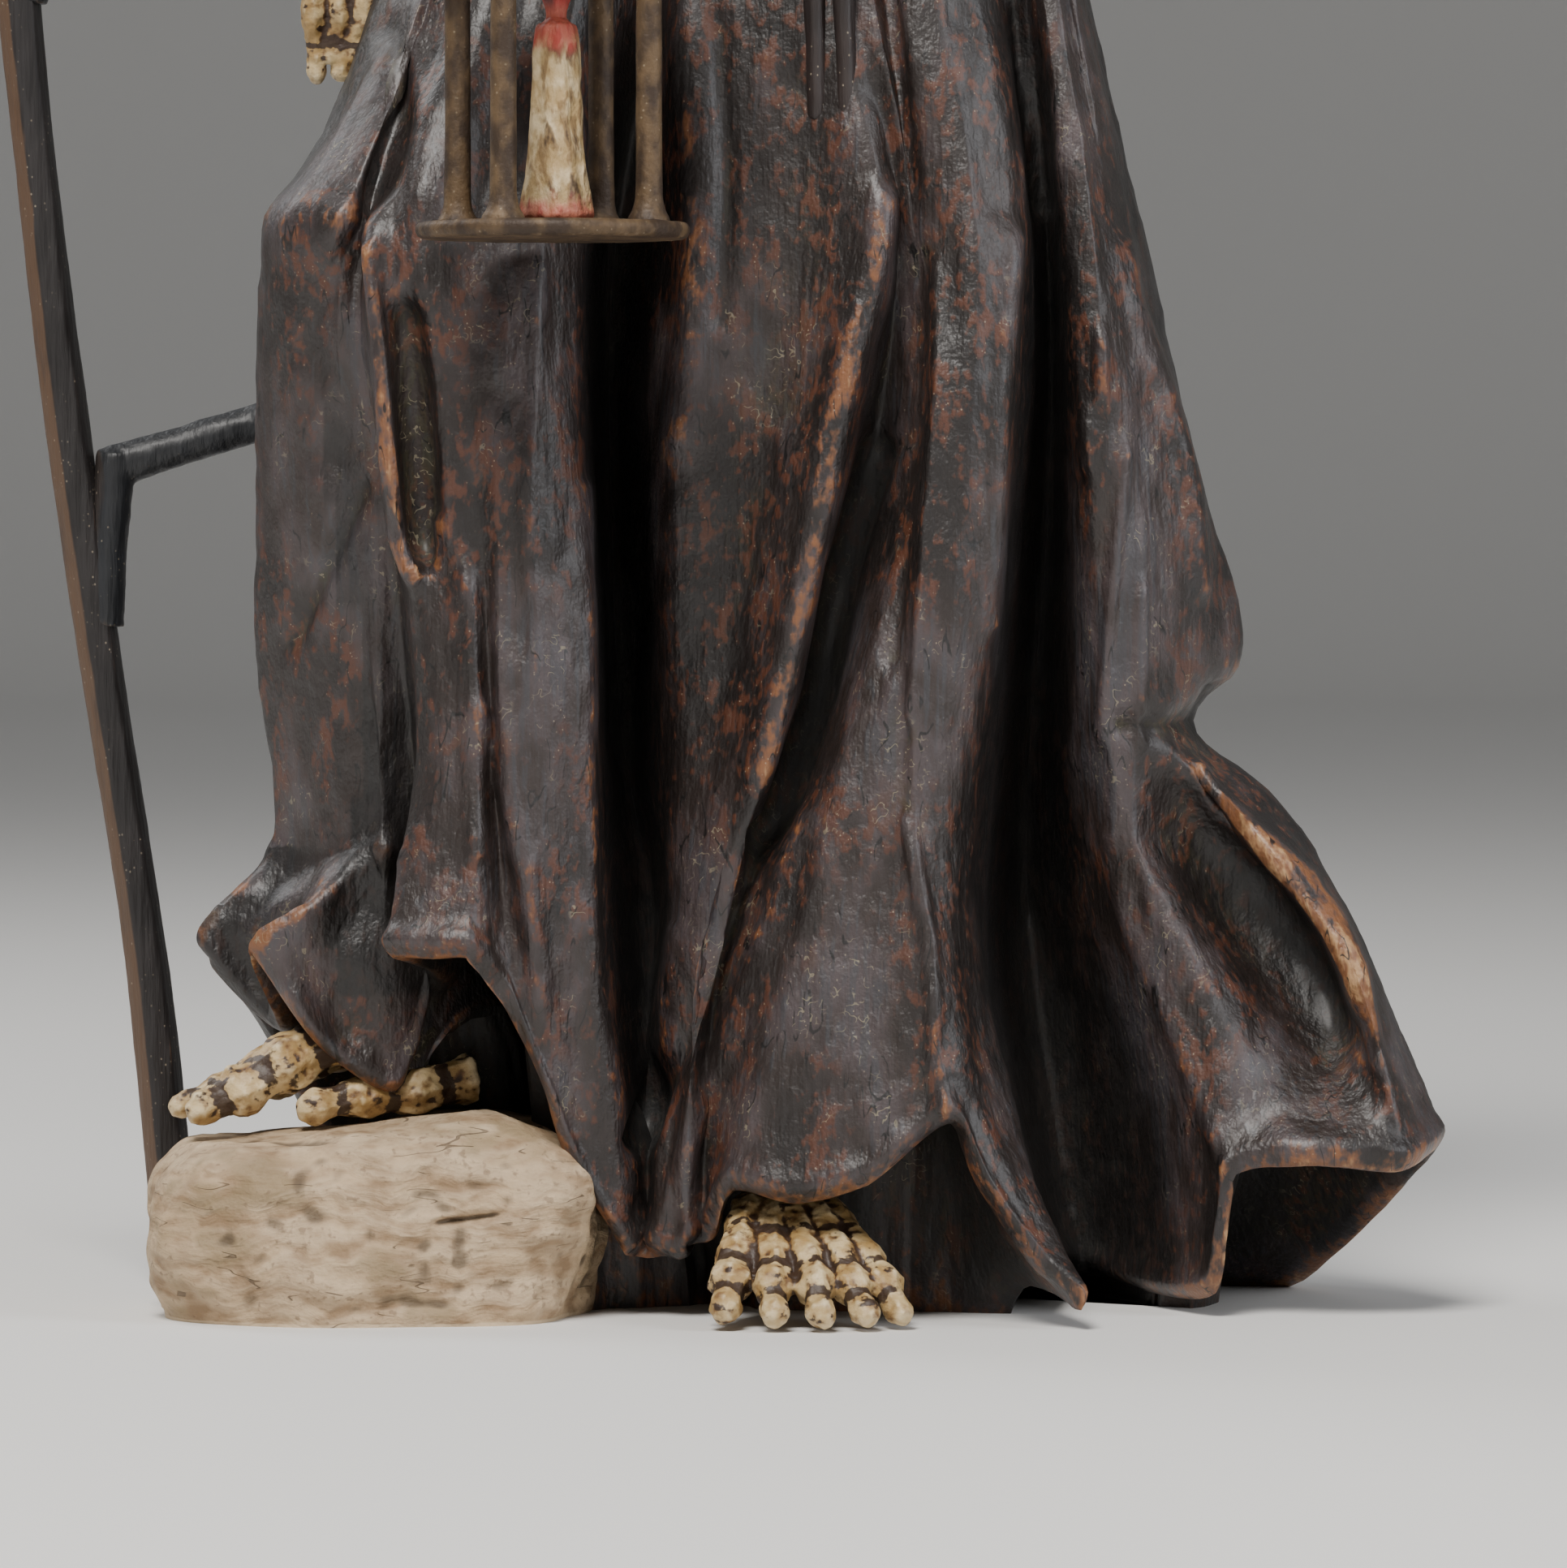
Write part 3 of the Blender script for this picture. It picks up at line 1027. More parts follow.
right_cloth, right_hollow = sleeve(RIGHT_SLEEVE, (1, 0, 0), 12)
left_cloth, left_hollow = sleeve(LEFT_SLEEVE, LEFT_ARM_SIDE, 10)
body, mantle = sew(stack(TORSO, 220, 8, torso_folds)), sew(stack(MANTLE, 260, 8, mantle_folds))
chest = carve("chest_and_mantle", [body, mantle], voxel=0.8, soften=4)
sleeves = carve("sleeves", [right_cloth, left_cloth], [right_hollow, left_hollow], voxel=0.78, soften=3)
for piece, seed in ((chest, 11), (sleeves, 13)):
    plain_cloth(weather(tool_marks(piece, 0.28, 5, seed), 4, 30))

# %% Hood
HOOD = [[296, -2, 4, 26, 21], [306, -2, 3, 24, 23], [318, -2, 1, 24.5, 26], [332, -2, 0, 24, 28],
    [346, -2, 1, 20, 26], [356, -2, 3, 13, 20], [362, -2, 7, 6, 12], [364, -2, 9, 1.5, 4]]
HOOD_OPENING = [[305, -2, -14, 7, 11], [314, -2, -17, 15, 14], [330, -2, -17, 18, 17],
    [343, -2, -15, 15, 16], [352, -2, -14, 7, 11]]


def hood_folds(turn, z):
    return 1 + 0.015 * np.cos(9 * turn + z / 9) + 0.01 * np.cos(17 * turn - z / 6)


hood = carve("hood", [sew(stack(HOOD, 160, 7, hood_folds))], [sew(stack(HOOD_OPENING, 60, 5))], 0.6, 4)
plain_cloth(weather(tool_marks(hood, 0.25, 4, 17), 4, 30))

# %% [markdown]
# ## Skull, hands and feet
#
# Bones are rows of ovals, thicker at each joint. The rough forms are joined into one skin, and the
# distance from each joint is kept with the mesh, so that the paint can darken the joints as in the photo.

# %% Skull
SKULL_X = -2
JAW = [[308, SKULL_X, -17.5, 5, 4], [314, SKULL_X, -18, 6, 4.6], [318, SKULL_X, -18.5, 6.5, 5],
    [324, SKULL_X, -18, 9.5, 6], [331, SKULL_X, -16, 10, 6]]


def carve_skull():
    """A cranium, a jaw, a neck, cheek bones and brows; sockets, temples, nose, mouth and teeth are cut."""
    x = SKULL_X
    forms = [egg([x, -9, 333], [12.5, 15, 14], 48, 28), stack(JAW, 40, 6),
        stack([[298, x, 0, 5, 6], [322, x, -4, 5, 6]], 24, 4)]
    cuts = [stack([[321.5, x, -26, 2, 4], [326.5, x, -26, 0.5, 4]], 20, 4),
        stack([[314.2, x, -25, 5, 2.6], [315.0, x, -25, 5, 2.6]], 24, 2)]
    for side in (-1, 1):
        forms.append(egg([x + 7.6 * side, -17.5, 323], [3, 4.4, 2.3]))
        forms.append(egg([x + 4.6 * side, -20.6, 334], [4.6, 3.2, 1.7]))
        cuts.append(egg([x + 4.7 * side, -24, 329], [3.5, 5.5, 3.5]))
        cuts.append(egg([x + 13.5 * side, -13, 328], [3.2, 4, 4.5]))
    for tooth in range(6):
        slit_x = x + 1.6 * (tooth - 2.5)
        cuts.append(stack([[311.8, slit_x, -25.6, 0.28, 3.4], [317.4, slit_x, -25.6, 0.28, 3.4]], 12, 2))
    made = carve("skull", [sew(f) for f in forms], [sew(c) for c in cuts], voxel=0.4, soften=3)
    note(made, "joint", 0)
    return made


skull = tool_marks(carve_skull(), 0.12, 3, 21)
ready(weather(skull, 3, 25), "figure", bone_paint)

# %% Rows of bones
GRIP_THICKNESS, SNATH_THICKNESS, SNATH_Y, SNATH_HEIGHT = 5, 5.6, 2, 372
ROCK = {"height": 23.4, "length": 55, "depth": 44, "x": -54, "y": -31}
LANTERN_AT = np.array([-31.0, -61.5, 131])
LANTERN = {"diameter": 32.8, "plate": 2, "bar": 3.2, "bar_height": 38, "roof": 17, "ring": 17, "wire": 1.8}
ring_middle = LANTERN_AT + [0, 0, 2 * LANTERN["plate"] + LANTERN["bar_height"] + LANTERN["roof"]
    + LANTERN["ring"] / 2 - LANTERN["wire"]]


def bone_row(points, sizes, sides=7, steps=4):
    """A row of bones along a path, thick at each point and drawn in to a neck between two points."""
    points, last = [np.array(p, float) for p in points], len(points) - 1
    half = sizes if isinstance(sizes, list) else [sizes] * last + [0.75 * sizes]
    stations, necks = [], []
    for i, p in enumerate(points):
        stations.append([p, half[i], half[i]])
        if i < last:
            neck = 0.84 * min(half[i], half[i + 1])
            stations.append([mix(p, points[i + 1], 0.5), neck, neck])
            necks.append((mix(p, points[i + 1], 0.5), unit(points[i + 1] - p), max(half[i], half[i + 1])))
    past = unit(points[last] - points[last - 1])
    stations.append([points[last] + past * 0.75 * half[last], 0.6 * half[last], 0.6 * half[last]])
    stations.append([points[last] + past * 0.92 * half[last], 0.15, 0.15])
    return sew(limb(smooth(stations, steps), (0.13, 0.21, 1), sides)), necks


def bones(name, rows, voxel=0.34):
    """One carved skin round rows of bones, with a note on how near each point is to a neck."""
    made = tool_marks(carve(name, [row for row, _ in rows], voxel=voxel, soften=1), 0.42, 2.6, len(name))
    points = points_of(made)
    dark, nearest = np.zeros(len(points)), np.full(len(points), 1e9)
    for middle, along, size in [neck for _, necks in rows for neck in necks]:
        away = points - middle
        distance = np.linalg.norm(away, axis=1) / size
        band = 1 - step(0.12, 0.36, np.abs(away @ along) / size)
        dark = np.where(distance < nearest, band * (distance < 1.35), dark)
        nearest = np.minimum(nearest, distance)
    note(made, "joint", dark)
    return ready(weather(made, 3, 18), "figure", bone_paint)


def hand(path, curl, across, finger):
    """A back of the hand, and four fingers that go on from the knuckles along `curl`."""
    sizes = [(3.4, 2.8), (3.8, 2.8), (5.6, 3.4), (4.1 * finger, 2.9)]
    rows = [(sew(limb(smooth([[p, *s] for p, s in zip(path, sizes)], 6), across, 28)), [])]
    for n in (-1.5, -0.5, 0.5, 1.5):
        shift = unit(across) * 2 * finger * n
        rows.append(bone_row([np.array(p, float) + shift for p in (path[-1], *curl)], 1.14 * finger))
    # The block between the fingers was never cut away.
    web_path = (path[-1], *curl[:-1], mix(*np.array(curl[-2:], float), 0.8))
    web = [[p, 3.4 * finger, 0.7 * finger] for p in web_path]
    rows.append((sew(limb(smooth(web, 5), across, 28)), []))
    return rows


# %% Feet
RIGHT_ANKLE, LEFT_ANKLE = [-49, -21, 37], [-5, -27, 17]
RIGHT_BONES = [
    ([RIGHT_ANKLE, [-58.5, -29, 34], [-64.8, -31.5, 30.6], [-70.3, -33.5, 27.2], [-75, -35, 25.3]],
        [4, 4.1, 4, 3.5, 2.4]),
    ([RIGHT_ANKLE, [-60, -25, 33], [-67.5, -28, 29.8], [-73.5, -30, 27], [-78, -31, 25.2]],
        [3.4, 3.2, 2.9, 2.4, 1.7]),
    ([RIGHT_ANKLE, [-58, -21.5, 32], [-65.5, -24, 28.4], [-72.5, -26, 25.4]], [3.2, 3, 2.6, 2]),
    ([[-42, -26, 28.5], [-49, -28, 27], [-55.6, -30.5, 26.4], [-61.2, -33.5, 25.4]], [3.4, 3.2, 2.9, 2.4]),
]
LEFT_TOES = [[-10.6, -56.5, 2.7], [-4.7, -58.3, 2.4], [1, -58.6, 2.3], [6.3, -57.5, 2.2], [10.6, -55, 2.1]]
LEFT_STEPS = [[0.08, 0.05], [0.5, 0.34], [0.72, 0.6], [0.87, 0.81], [1, 1]]  # way out, way down

shin = bone_row([[-48, -20, 62], [-48.5, -20, 49], RIGHT_ANKLE], 4.4)
heel = bone_row([[-3, -13, 17], [-4, -20, 18], LEFT_ANKLE], 5)
left_rows = []
for i, tip in enumerate(LEFT_TOES):
    row = [[mix(a, b, down if n == 2 else out) for n, (a, b) in enumerate(zip(LEFT_ANKLE, tip))]
        for out, down in LEFT_STEPS]
    left_rows.append(bone_row(row, 2.6 if i else 3.0))
bones("right_foot", [*(bone_row(*row) for row in RIGHT_BONES), shin])
bones("left_foot", [*left_rows, heel])

# %% Hands


def near_grip(y, z):
    return (-57.6, -1.5 + y, 178 + z)


def over_ring(x, z):
    top = ring_middle[2] + LANTERN["ring"] / 2 - LANTERN["wire"] / 2
    return (ring_middle[0] + x, ring_middle[1], top + z)


right_hand = hand([(-56, 4, 208), (-57, 3, 200), near_grip(1.5, 15), near_grip(-3.5, 7)],
    [near_grip(-5.4, -0.5), near_grip(-5.2, -9), near_grip(-4, -17), near_grip(-2.4, -24.4)], (1, 0, 0), 1.6)
left_hand = hand([(20, -38, 206), (2, -46, 206), over_ring(15, 2.6), over_ring(4.5, 4)],
    [over_ring(-3.4, 2.8), over_ring(-4, -2.6), over_ring(2, -4)], (0, 1, 0), 1.55)
bones("right_hand", right_hand)
bones("left_hand", left_hand)

# %% [markdown]
# ## The rope belt
#
# A rope repeats one form along a path, which is work for a node group. The profile is three round
# strands side by side, and the tilt of the curve grows along its length, so the strands twist round each
# other. The belt goes round the waist, and its two ends hang down in front of the skirt.

# %% Rope as a node group


def rope_group(paint):
    g = Group("twisted rope", Radius="Float", Lay="Float", Spacing="Float")
    every = {"Curve": g.ask("Geometry"), "Length": g.ask("Spacing")}
    path = g.node("GeometryNodeResampleCurve", {"mode": "LENGTH"}, every)
    twist = g.node("GeometryNodeSplineParameter", output="Length") / g.ask("Lay") * (2 * math.pi)
    tilted = g.node("GeometryNodeSetCurveTilt", None, {"Curve": path, "Tilt": twist})
    strands = g.node("GeometryNodeCurvePrimitiveCircle", None, {"Resolution": 27, "Radius": 1.0})
    turn = g.node("GeometryNodeSplineParameter") * (6 * math.pi)
    lobes = 0.74 + 0.26 * g.node("ShaderNodeMath", {"operation": "COSINE"}, {0: turn})
    spot = g.node("GeometryNodeInputPosition")
    scaling = {0: spot, "Scale": lobes * g.ask("Radius")}
    scaled = g.node("ShaderNodeVectorMath", {"operation": "SCALE"}, scaling)
    profile = g.node("GeometryNodeSetPosition", None, {"Geometry": strands, "Position": scaled})
    sweep_along = {"Curve": tilted, "Profile Curve": profile, "Fill Caps": True}
    return g.done(g.node("GeometryNodeCurveToMesh", None, sweep_along), paint)


def with_nodes(made, tree, **values):
    """Runs a node group on an object and keeps the plain mesh that it makes."""
    work = made.modifiers.new(tree.name, "NODES")
    work.node_group = tree
    for item in tree.interface.items_tree:
        if item.item_type == "SOCKET" and item.in_out == "INPUT" and item.name in values:
            work[item.identifier] = values[item.name]
    return plain(made)


def path_object(name, paths):
    """A curve object of several paths [points, closed], in millimetres."""
    curve = bpy.data.curves.new(name, "CURVE")
    curve.dimensions = "3D"
    for points, closed in paths:
        line = curve.splines.new("POLY")
        line.points.add(len(points) - 1)
        line.use_cyclic_u = closed
        for spot, p in zip(line.points, points):
            spot.co = (*(float(c) * MM for c in p), 1)
    return in_scene(name, curve)


# %% Belt and its ends
rope = rope_group(belt_paint)
turn = circle(160)
waist = np.stack([-4 + 34 * np.cos(turn), 25 * np.sin(turn), 212 + 1.2 * np.cos(turn - 0.6)], axis=-1)
belt = with_nodes(path_object("belt", [(waist, True)]), rope, Radius=3.1 * MM, Lay=11 * MM, Spacing=0.7 * MM)
ends = []
for x, end, y in ((0, 146.2, -36), (3.6, 144.9, -37)):
    # [point, half width, half depth]: a plain cord that thins a little towards its rounded end.
    cord = [[(x + 1, -24, 210), 2, 2], [(x, y + 1, 190), 1.7, 1.7], [(x, y, 170), 1.45, 1.5],
        [(x + 0.5, y - 0.4, 153), 1.25, 1.4], [(x + 0.6, y - 0.4, end + 1), 1.2, 1.3],
        [(x + 0.6, y, end), 0.7, 0.8]]
    ends.append(sew(limb(smooth(cord, 12), (1, 0, 0), 24)))
belt_ends = tool_marks(mesh_object("belt_ends", ends), 0.12, 2.2, 27)
knot = carve("belt_knot", [sew(egg([2, -26, 209], [6, 4, 5])), sew(egg([-1.5, -27.5, 211], [4, 3, 2.4])),
    sew(egg([4.5, -27.5, 207.5], [4, 3, 2.6]))], voxel=0.45, soften=4)
for piece in (belt, belt_ends, knot):
    note(piece, "side", 0)
    ready(weather(piece, 2, 6), "figure", belt_paint, 180)

# %% [markdown]
# ## Rock
#
# The rock is a squarish boulder with a flat underside. Its wood grain runs level, so the carver's cuts
# left level steps, and one long check opened along the grain in front.

# %% Rock


def carve_rock():
    # [share of the height, size]
    levels = np.array([[0, 0.95], [0.15, 0.98], [0.3, 1], [0.56, 0.99], [0.78, 0.93], [0.93, 0.8], [1, 0.52]])
    turn = circle(300)
    lower, upper = np.linspace(0, 0.56, 52), np.linspace(0.56, 0.93, 44)[1:]
    level = np.concatenate([lower, upper, [0.95, 0.965, 0.98, 0.99, 1]])
    size = open_through(levels[:, ::-1], 240)
    size = np.interp(level, size[:, 1], size[:, 0])
    level, size = level[:, None], size[:, None]
    worn = 1 + 0.035 * np.sin(3 * turn + 4 * level) + 0.022 * np.cos(7 * turn - 3 * level)
    square = (np.abs(np.cos(turn)) ** 4 + np.abs(np.sin(turn)) ** 4) ** -0.17
    edge = 0.5 * size * worn * square
    z = level * ROCK["height"] * (1 + 0.06 * np.cos(turn))
    x = ROCK["x"] + ROCK["length"] * edge * np.cos(turn)
    rings = np.stack([x, ROCK["y"] + ROCK["depth"] * edge * np.sin(turn), z], axis=-1)
    flat = rings.reshape(-1, 3)
    rough = 1.5 * bumps(flat * [0.6, 0.6, 1], 8, 31) + 0.35 * bumps(flat * [0.3, 0.3, 1], 2.0, 32)
    rough += 0.55 * bumps(flat, 3.2, 34)
    rough = rough.reshape(rings.shape[:2]) * step(0, 0.1, level)
    # The check opens along the grain in front and closes at both ends.
    check = np.exp(-(((z - 13.0 - 0.12 * (x + 42)) / 0.4) ** 2))
    check = check * step(-46.5, -44.5, x) * (1 - step(-39, -37, x))
    rough -= 0.9 * check * (rings[..., 1] < ROCK["y"])
    rings = rings + grid_normals(rings) * rough[..., None]
    rings[0, :, 2] = 0
    top, under = rings[-1], rings[0]
    middle = top.mean(0)
    for s in (0.92, 0.8, 0.62, 0.45, 0.28, 0.12):
        cap = mix(middle, top, s)
        cap[:, 2] += 0.35 * bumps(cap * [0.4, 0.4, 1], 5, 33) * (1 - s**6) + 0.3 * (1 - s)
        rings = np.concatenate([rings, cap[None]])
    floor_rings = [mix(under.mean(0), under, s) for s in (0.05, 0.5, 0.97)]
    return mesh_object("rock", [sew(np.concatenate([floor_rings, rings]))])


rock = weather(carve_rock(), 5, 40)
ready(rock, "rock", rock_paint, 70)

# %% [markdown]
# ## Scythe
#
# The snath is a bowed six-sided shaft, slightly thicker at its old twig knots. Each grip is a forked
# twig: a stem that ends in a cut stub, and a crossbar that goes to the figure. The blade is bowed over
# the hood and thins to its edge.

# %% Snath
SNATH_PATH = [[372, -113, 0], [310, -111.5, 0], [240, -107, 0], [162, -100.2, 0], [120, -95.6, 0],
    [80, -90.2, 0], [40, -84.2, 0], [0, -80.3, 0]]


def snath_at(height):
    return np.array([read(SNATH_PATH, [height])[0, 0], SNATH_Y, height])


def note_wood(made):
    """Notes the side of a shaft that hands have worn."""
    note(made, "side", step(-0.1, 0.8, -normals_of(made)[:, 0]))
    return made


def carve_snath():
    height = np.linspace(0, SNATH_HEIGHT, 420)
    centre = np.stack([read(SNATH_PATH, height)[:, 0], 0 * height + SNATH_Y, height], axis=-1)
    corner = 0.2
    turn = circle(36) + corner
    # A six-sided section with its corners a little rounded.
    hexagon = math.cos(math.pi / 6) / np.cos((turn - corner) % (math.pi / 3) - math.pi / 6)
    r = SNATH_THICKNESS / 2 * mix(hexagon, 0.96, 0.22) * (1 + 0.05 * np.sin(2.4 * height / 31))[:, None]
    lumps = bumps(np.stack([0 * height, 0 * height, height], axis=-1), 17, 41)[:, None]
    r = r + 0.14 * lumps * np.cos(turn * 2 + height[:, None] / 19)
    rings = centre[:, None] + np.stack([r * np.cos(turn), 0.92 * r * np.sin(turn), 0 * r], axis=-1)
    caps = lambda ring: [mix(ring.mean(0), ring, s) for s in (0.3, 0.86)]
    rings = np.concatenate([caps(rings[0]), rings, caps(rings[-1])[::-1]])
    return mesh_object("snath", [sew(rings)])


snath = tool_marks(carve_snath(), 0.06, 2, 43)
ready(weather(note_wood(snath), 3, 14), "scythe_snath", shaft_paint, 60)

# %% Grips
# The stem of a grip, from its foot on the snath to its cut stub: [way up, way out, size].
STEM = [[0, 0.26, 0.9], [0.35, 0.5, 0.96], [0.7, 0.8, 1], [0.97, 1.05, 1.05], [1, 1.08, 0.98]]


def carve_grip(name, height, stub, far):
    r = GRIP_THICKNESS / 2
    clear = SNATH_THICKNESS / 2 + r
    low, high = snath_at(height), snath_at(height + stub)
    stem = [[mix(low, high, way) + [clear * out, 0, 0], size * r, size * r] for way, out, size in STEM]
    root, far = high + [clear * 0.75, 0, -0.9 * r], np.array(far, float)
    bar = [[root, r * 1.1, r], [mix(root, far, 0.3), r, r * 0.95], [far, r * 0.9, r * 0.9]]
    forms = [sew(limb(smooth(stem, 10), (1, 0, 0), 32)), sew(limb(smooth(bar, 14), (0, 0, 1), 32))]
    made = tool_marks(carve(name, forms, voxel=0.4, soften=3), 0.16, 3.2, len(name))
    return ready(weather(note_wood(made), 3, 20), name, twig_paint, 60)


carve_grip("lower_grip", 84, 22, (-56, 4, 114.3))
carve_grip("upper_grip", 163, 13, (-50, -1.5, 178))

# %% Blade
BLADE = {"length": 92, "width": 17, "thickness": 2.4}


def carve_blade():
    root = snath_at(SNATH_HEIGHT * 0.972)
    rings = []
    for f in np.linspace(0, 1, 150):
        width = mix(5.5, BLADE["width"], float(step(0.06, 0.16, f)))
        width = width * math.sqrt(max(1 - f, 0.004)) * mix(1, 1.06, f)
        spine = root + [mix(-6, BLADE["length"], f), 0, 14 * math.sin(1.9 * f) - 21 * f * f + 3]
        t = BLADE["thickness"] / 2
        # [across the blade, down from the spine]: a rounded spine, a shallow hollow, and the thin edge.
        half = [(0.55 * t, 0), (t, -0.03), (t, -0.12), (0.82 * t, -0.2), (0.74 * t, -0.35), (0.5 * t, -0.65),
            (0.25 * t, -0.97), (0.08 * t, -1)]
        section = [(y, z) for y, z in half] + [(-y, z) for y, z in reversed(half)]
        rings.append([spine + [0, y, z * width] for y, z in section])
    return mesh_object("blade", [sew(rings)])


blade = tool_marks(carve_blade(), 0.08, 3, 47)
ready(weather(blade, 3, 12), "scythe_blade", blade_paint, 40)

# %% [markdown]
# ## Lantern and candle
#
# The plate and the roof come from the lathe. The four bars are one bar with flared feet, repeated on a
# circle by a node group. The ring hangs from an eye on the roof, and a stub of candle stands inside.

# %% Lantern


def bars_group(paint):
    g = Group("bars on a circle", Count="Int", Circle="Float", Turn="Float", Height="Float")
    spots = {"Vertices": g.ask("Count"), "Radius": g.ask("Circle")}
    spots = g.node("GeometryNodeMeshCircle", None, spots)
    spin = g.node("ShaderNodeCombineXYZ", None, {"Z": g.ask("Turn")})
    x, y = (float(c * MM) for c in LANTERN_AT[:2])
    move = g.node("ShaderNodeCombineXYZ", None, {0: x, 1: y, 2: g.ask("Height")})
    way = {"Geometry": spots, "Translation": move, "Rotation": spin}
    placed = g.node("GeometryNodeTransform", None, way)
    copies = {"Points": placed, "Instance": g.ask("Geometry")}
    return g.done(g.node("GeometryNodeInstanceOnPoints", None, copies), paint)


def lantern_parts():
    r, t, h = LANTERN["diameter"] / 2, LANTERN["plate"], LANTERN["roof"]
    bar, tall = LANTERN["bar"] / 2, LANTERN["bar_height"]
    base = LANTERN_AT
    plate = [[0, 0], [0.5 * r, 0], [r - 0.9, 0], [r - 0.25, 0.14 * t], [r, 0.42 * t], [r - 0.05, 0.7 * t],
        [r - 0.4, 0.94 * t], [r - 1.1, t], [0.5 * r, t], [0, t]]
    roof = [[0, 0], [0.5 * r, 0], [r - 0.5, 0], [r, 0.12 * t], [r, 0.6 * t], [0.97 * r, 0.8 * t],
        [0.86 * r, t], [0.76 * r, t + 0.1 * h], [0.62 * r, t + 0.29 * h], [0.55 * r, t + 0.4 * h],
        [0.4 * r, t + 0.48 * h],
        [0.3 * r, t + 0.6 * h], [0.26 * r, t + 0.72 * h], [0.16 * r, t + 0.8 * h], [0.1 * r, t + 0.86 * h],
        [0.09 * r, t + h], [0.06 * r, t + h + 0.4], [0, t + h + 0.4]]
    post = [[0, -0.4], [1.6 * bar, -0.4], [1.55 * bar, 0.3], [1.25 * bar, 1.2], [1.05 * bar, 2.4], [bar, 4],
        [0.97 * bar, 0.5 * tall], [bar, tall - 3], [1.15 * bar, tall - 1], [1.4 * bar, tall + 0.4],
        [0, tall + 0.4]]
    plates = mesh_object("lantern_plates", [sew(turned(plate, 96, base)),
        sew(turned(roof, 96, base + [0, 0, t + tall]))])
    one = mesh_object("lantern_bars", [sew(turned(post, 24, rows=5))])
    bars = with_nodes(one, bars_group(brass_paint), Count=4, Circle=0.39 * LANTERN["diameter"] * MM,
        Turn=math.radians(-25.5), Height=(base[2] + t) * MM)
    return plates, bars


def carrying_ring():
    big, wire = LANTERN["ring"] / 2 - LANTERN["wire"] / 2, LANTERN["wire"] / 2
    turn = circle(64)
    path = np.stack([0 * turn, big * np.cos(turn), big * np.sin(turn)], axis=-1) + ring_middle
    return path_object("carrying_ring", [(path, True)]), wire


def wire_mesh(made, wire):
    """A round wire along a path."""
    made.data.bevel_depth, made.data.bevel_resolution = wire * MM, 5
    return plain(made)


plates, bars = lantern_parts()
ring = wire_mesh(*carrying_ring())
for piece in (plates, bars, ring):
    tool_marks(piece, 0.07 if piece is not ring else 0.03, 2.4, 53)
    ready(weather(piece, 2, 8), "lantern", brass_paint, 60)

# %% Candle
CANDLE = {"half_width": 4, "height": 23, "flame": 11, "clear": 0.3}


def carve_candle():
    r, h, f = CANDLE["half_width"], CANDLE["height"], CANDLE["flame"]
    profile = [[0, 0], [1.02 * r, 0], [1.1 * r, 0.02 * h], [1.05 * r, 0.08 * h], [0.86 * r, 0.3 * h],
        [0.74 * r, 0.7 * h], [0.6 * r, h], [0.42 * r, h + 0.05 * f], [0.3 * r, h + 0.1 * f],
        [0.46 * r, h + 0.38 * f], [0.36 * r, h + 0.65 * f], [0.12 * r, h + 0.9 * f], [0, h + f]]
    base = LANTERN_AT + [0.4, 0, LANTERN["plate"] + CANDLE["clear"]]
    drips = lambda turn, z: 1 + 0.035 * np.cos(5 * turn + 1) + 0.03 * np.cos(9 * turn + z / 5)
    made = mesh_object("candle", [sew(turned(profile, 72, base, 9, drips, least=0.05))])
    return tool_marks(made, 0.16, 1.8, 59)


candle = weather(carve_candle(), 3, 16)
candle_foot = LANTERN_AT[2] + LANTERN["plate"]
candle_top = candle_foot + CANDLE["height"] + CANDLE["clear"]
ready(candle, "candle", candle_wax(candle_foot, candle_top), 70)

# %% [markdown]
# ## Room, light and camera
#
# A pale floor that rises into a backdrop, a large soft light from the upper right as in the photo, a
# weak one from the left, and a camera far away with a long lens, a little above the level of the lantern.

# %% Room


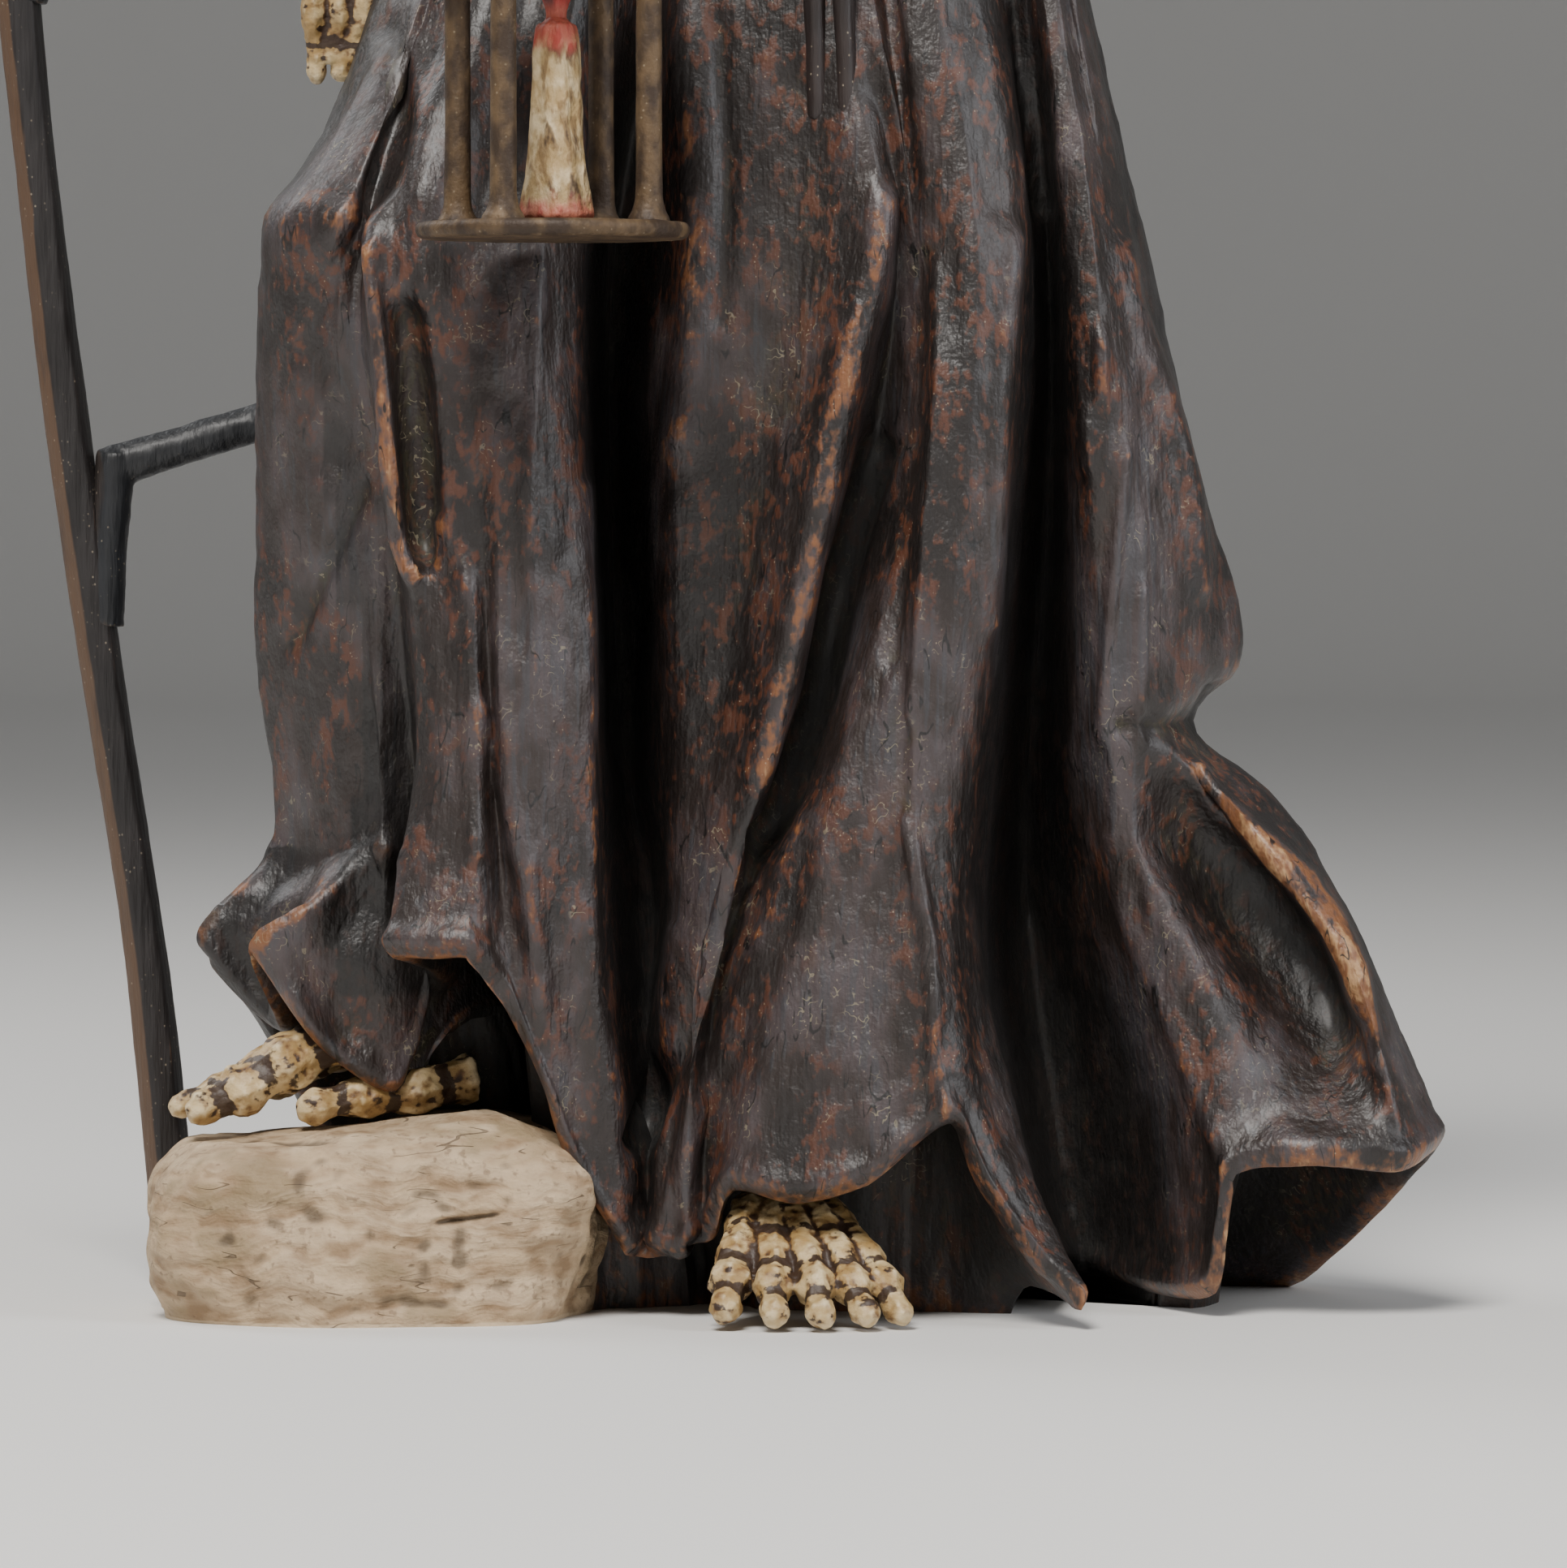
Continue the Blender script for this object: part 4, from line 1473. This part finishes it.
def sweep():
    """A wide round floor that curves up far behind the statue, on every side of it."""
    line = [(0.4, 0.0), (1.2, 0.0), (3.4, 0.0)]
    line += [(3.4 + 0.8 * math.sin(a), 0.8 - 0.8 * math.cos(a)) for a in np.radians(np.linspace(6, 90, 15))]
    line.append((4.2, 3.0))
    sides = 64
    turns = [2 * math.pi * k / sides for k in range(sides)]
    points = [(r * math.cos(t), r * math.sin(t), z) for r, z in line for t in turns]
    faces = [tuple(range(sides))]
    for i in range(len(line) - 1):
        for k in range(sides):
            a, b = i * sides + k, i * sides + (k + 1) % sides
            faces.append((a, a + sides, b + sides, b))
    mesh = bpy.data.meshes.new("floor")
    mesh.from_pydata(points, [], faces)
    mesh.shade_smooth()
    floor = in_scene("floor", mesh)
    mesh.materials.append(Paint("pale floor").done((0.78, 0.77, 0.75), 0.75))
    return floor


def soft_light(name, place, target, size, power, color=(1, 1, 1)):
    lamp = bpy.data.lights.new(name, "AREA")
    lamp.shape, lamp.size, lamp.energy, lamp.color = "DISK", size, power, color
    made = in_scene(name, lamp)
    made.location = place
    made.rotation_euler = (Vector(target) - Vector(place)).to_track_quat("-Z", "Y").to_euler()


sweep()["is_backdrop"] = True
soft_light("key", (-0.22, -0.80, 1.10), (0, 0, 0.10), 0.5, 21, (1, 0.97, 0.93))
soft_light("fill", (0.95, -0.55, 0.55), (0, 0, 0.10), 0.6, 6, (0.94, 0.96, 1))
soft_light("rim", (-0.75, 0.55, 0.8), (0, 0, 0.12), 0.5, 5)
world = bpy.data.worlds.new("studio")
world.use_nodes = True
world.node_tree.nodes["Background"].inputs[0].default_value = (0.8, 0.82, 0.85, 1)
world.node_tree.nodes["Background"].inputs[1].default_value = 0.25
bpy.context.scene.world = world

# %% Camera
# The photo takes in 193 mm at the statue's plane, from the floor in front of it up to the thigh.
AIM, WIDTH, AWAY, ELEVATION = (-0.0035, -0.030, 0.0650), 0.1931, 1.05, 1.8
lens = bpy.data.cameras.new("camera")
lens.sensor_width, lens.lens = 36, 36 * AWAY / WIDTH
lens.clip_start, lens.clip_end = 0.05, 20
camera = in_scene("camera", lens)
e = math.radians(ELEVATION)
back = Vector((0, -math.cos(e), math.sin(e)))
camera.location = Vector(AIM) + back * AWAY
camera.rotation_euler = (-back).to_track_quat("-Z", "Y").to_euler()
bpy.context.scene.camera = camera

# %% Sizes of the finished model
looks_low, looks_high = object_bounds()
sizes = {"solids": [list(solids_low), list(solids_high)], "looks": [list(looks_low), list(looks_high)]}
for name, (low, high) in sizes.items():
    print(name, [round(v * 1000, 1) for v in low], [round(v * 1000, 1) for v in high])
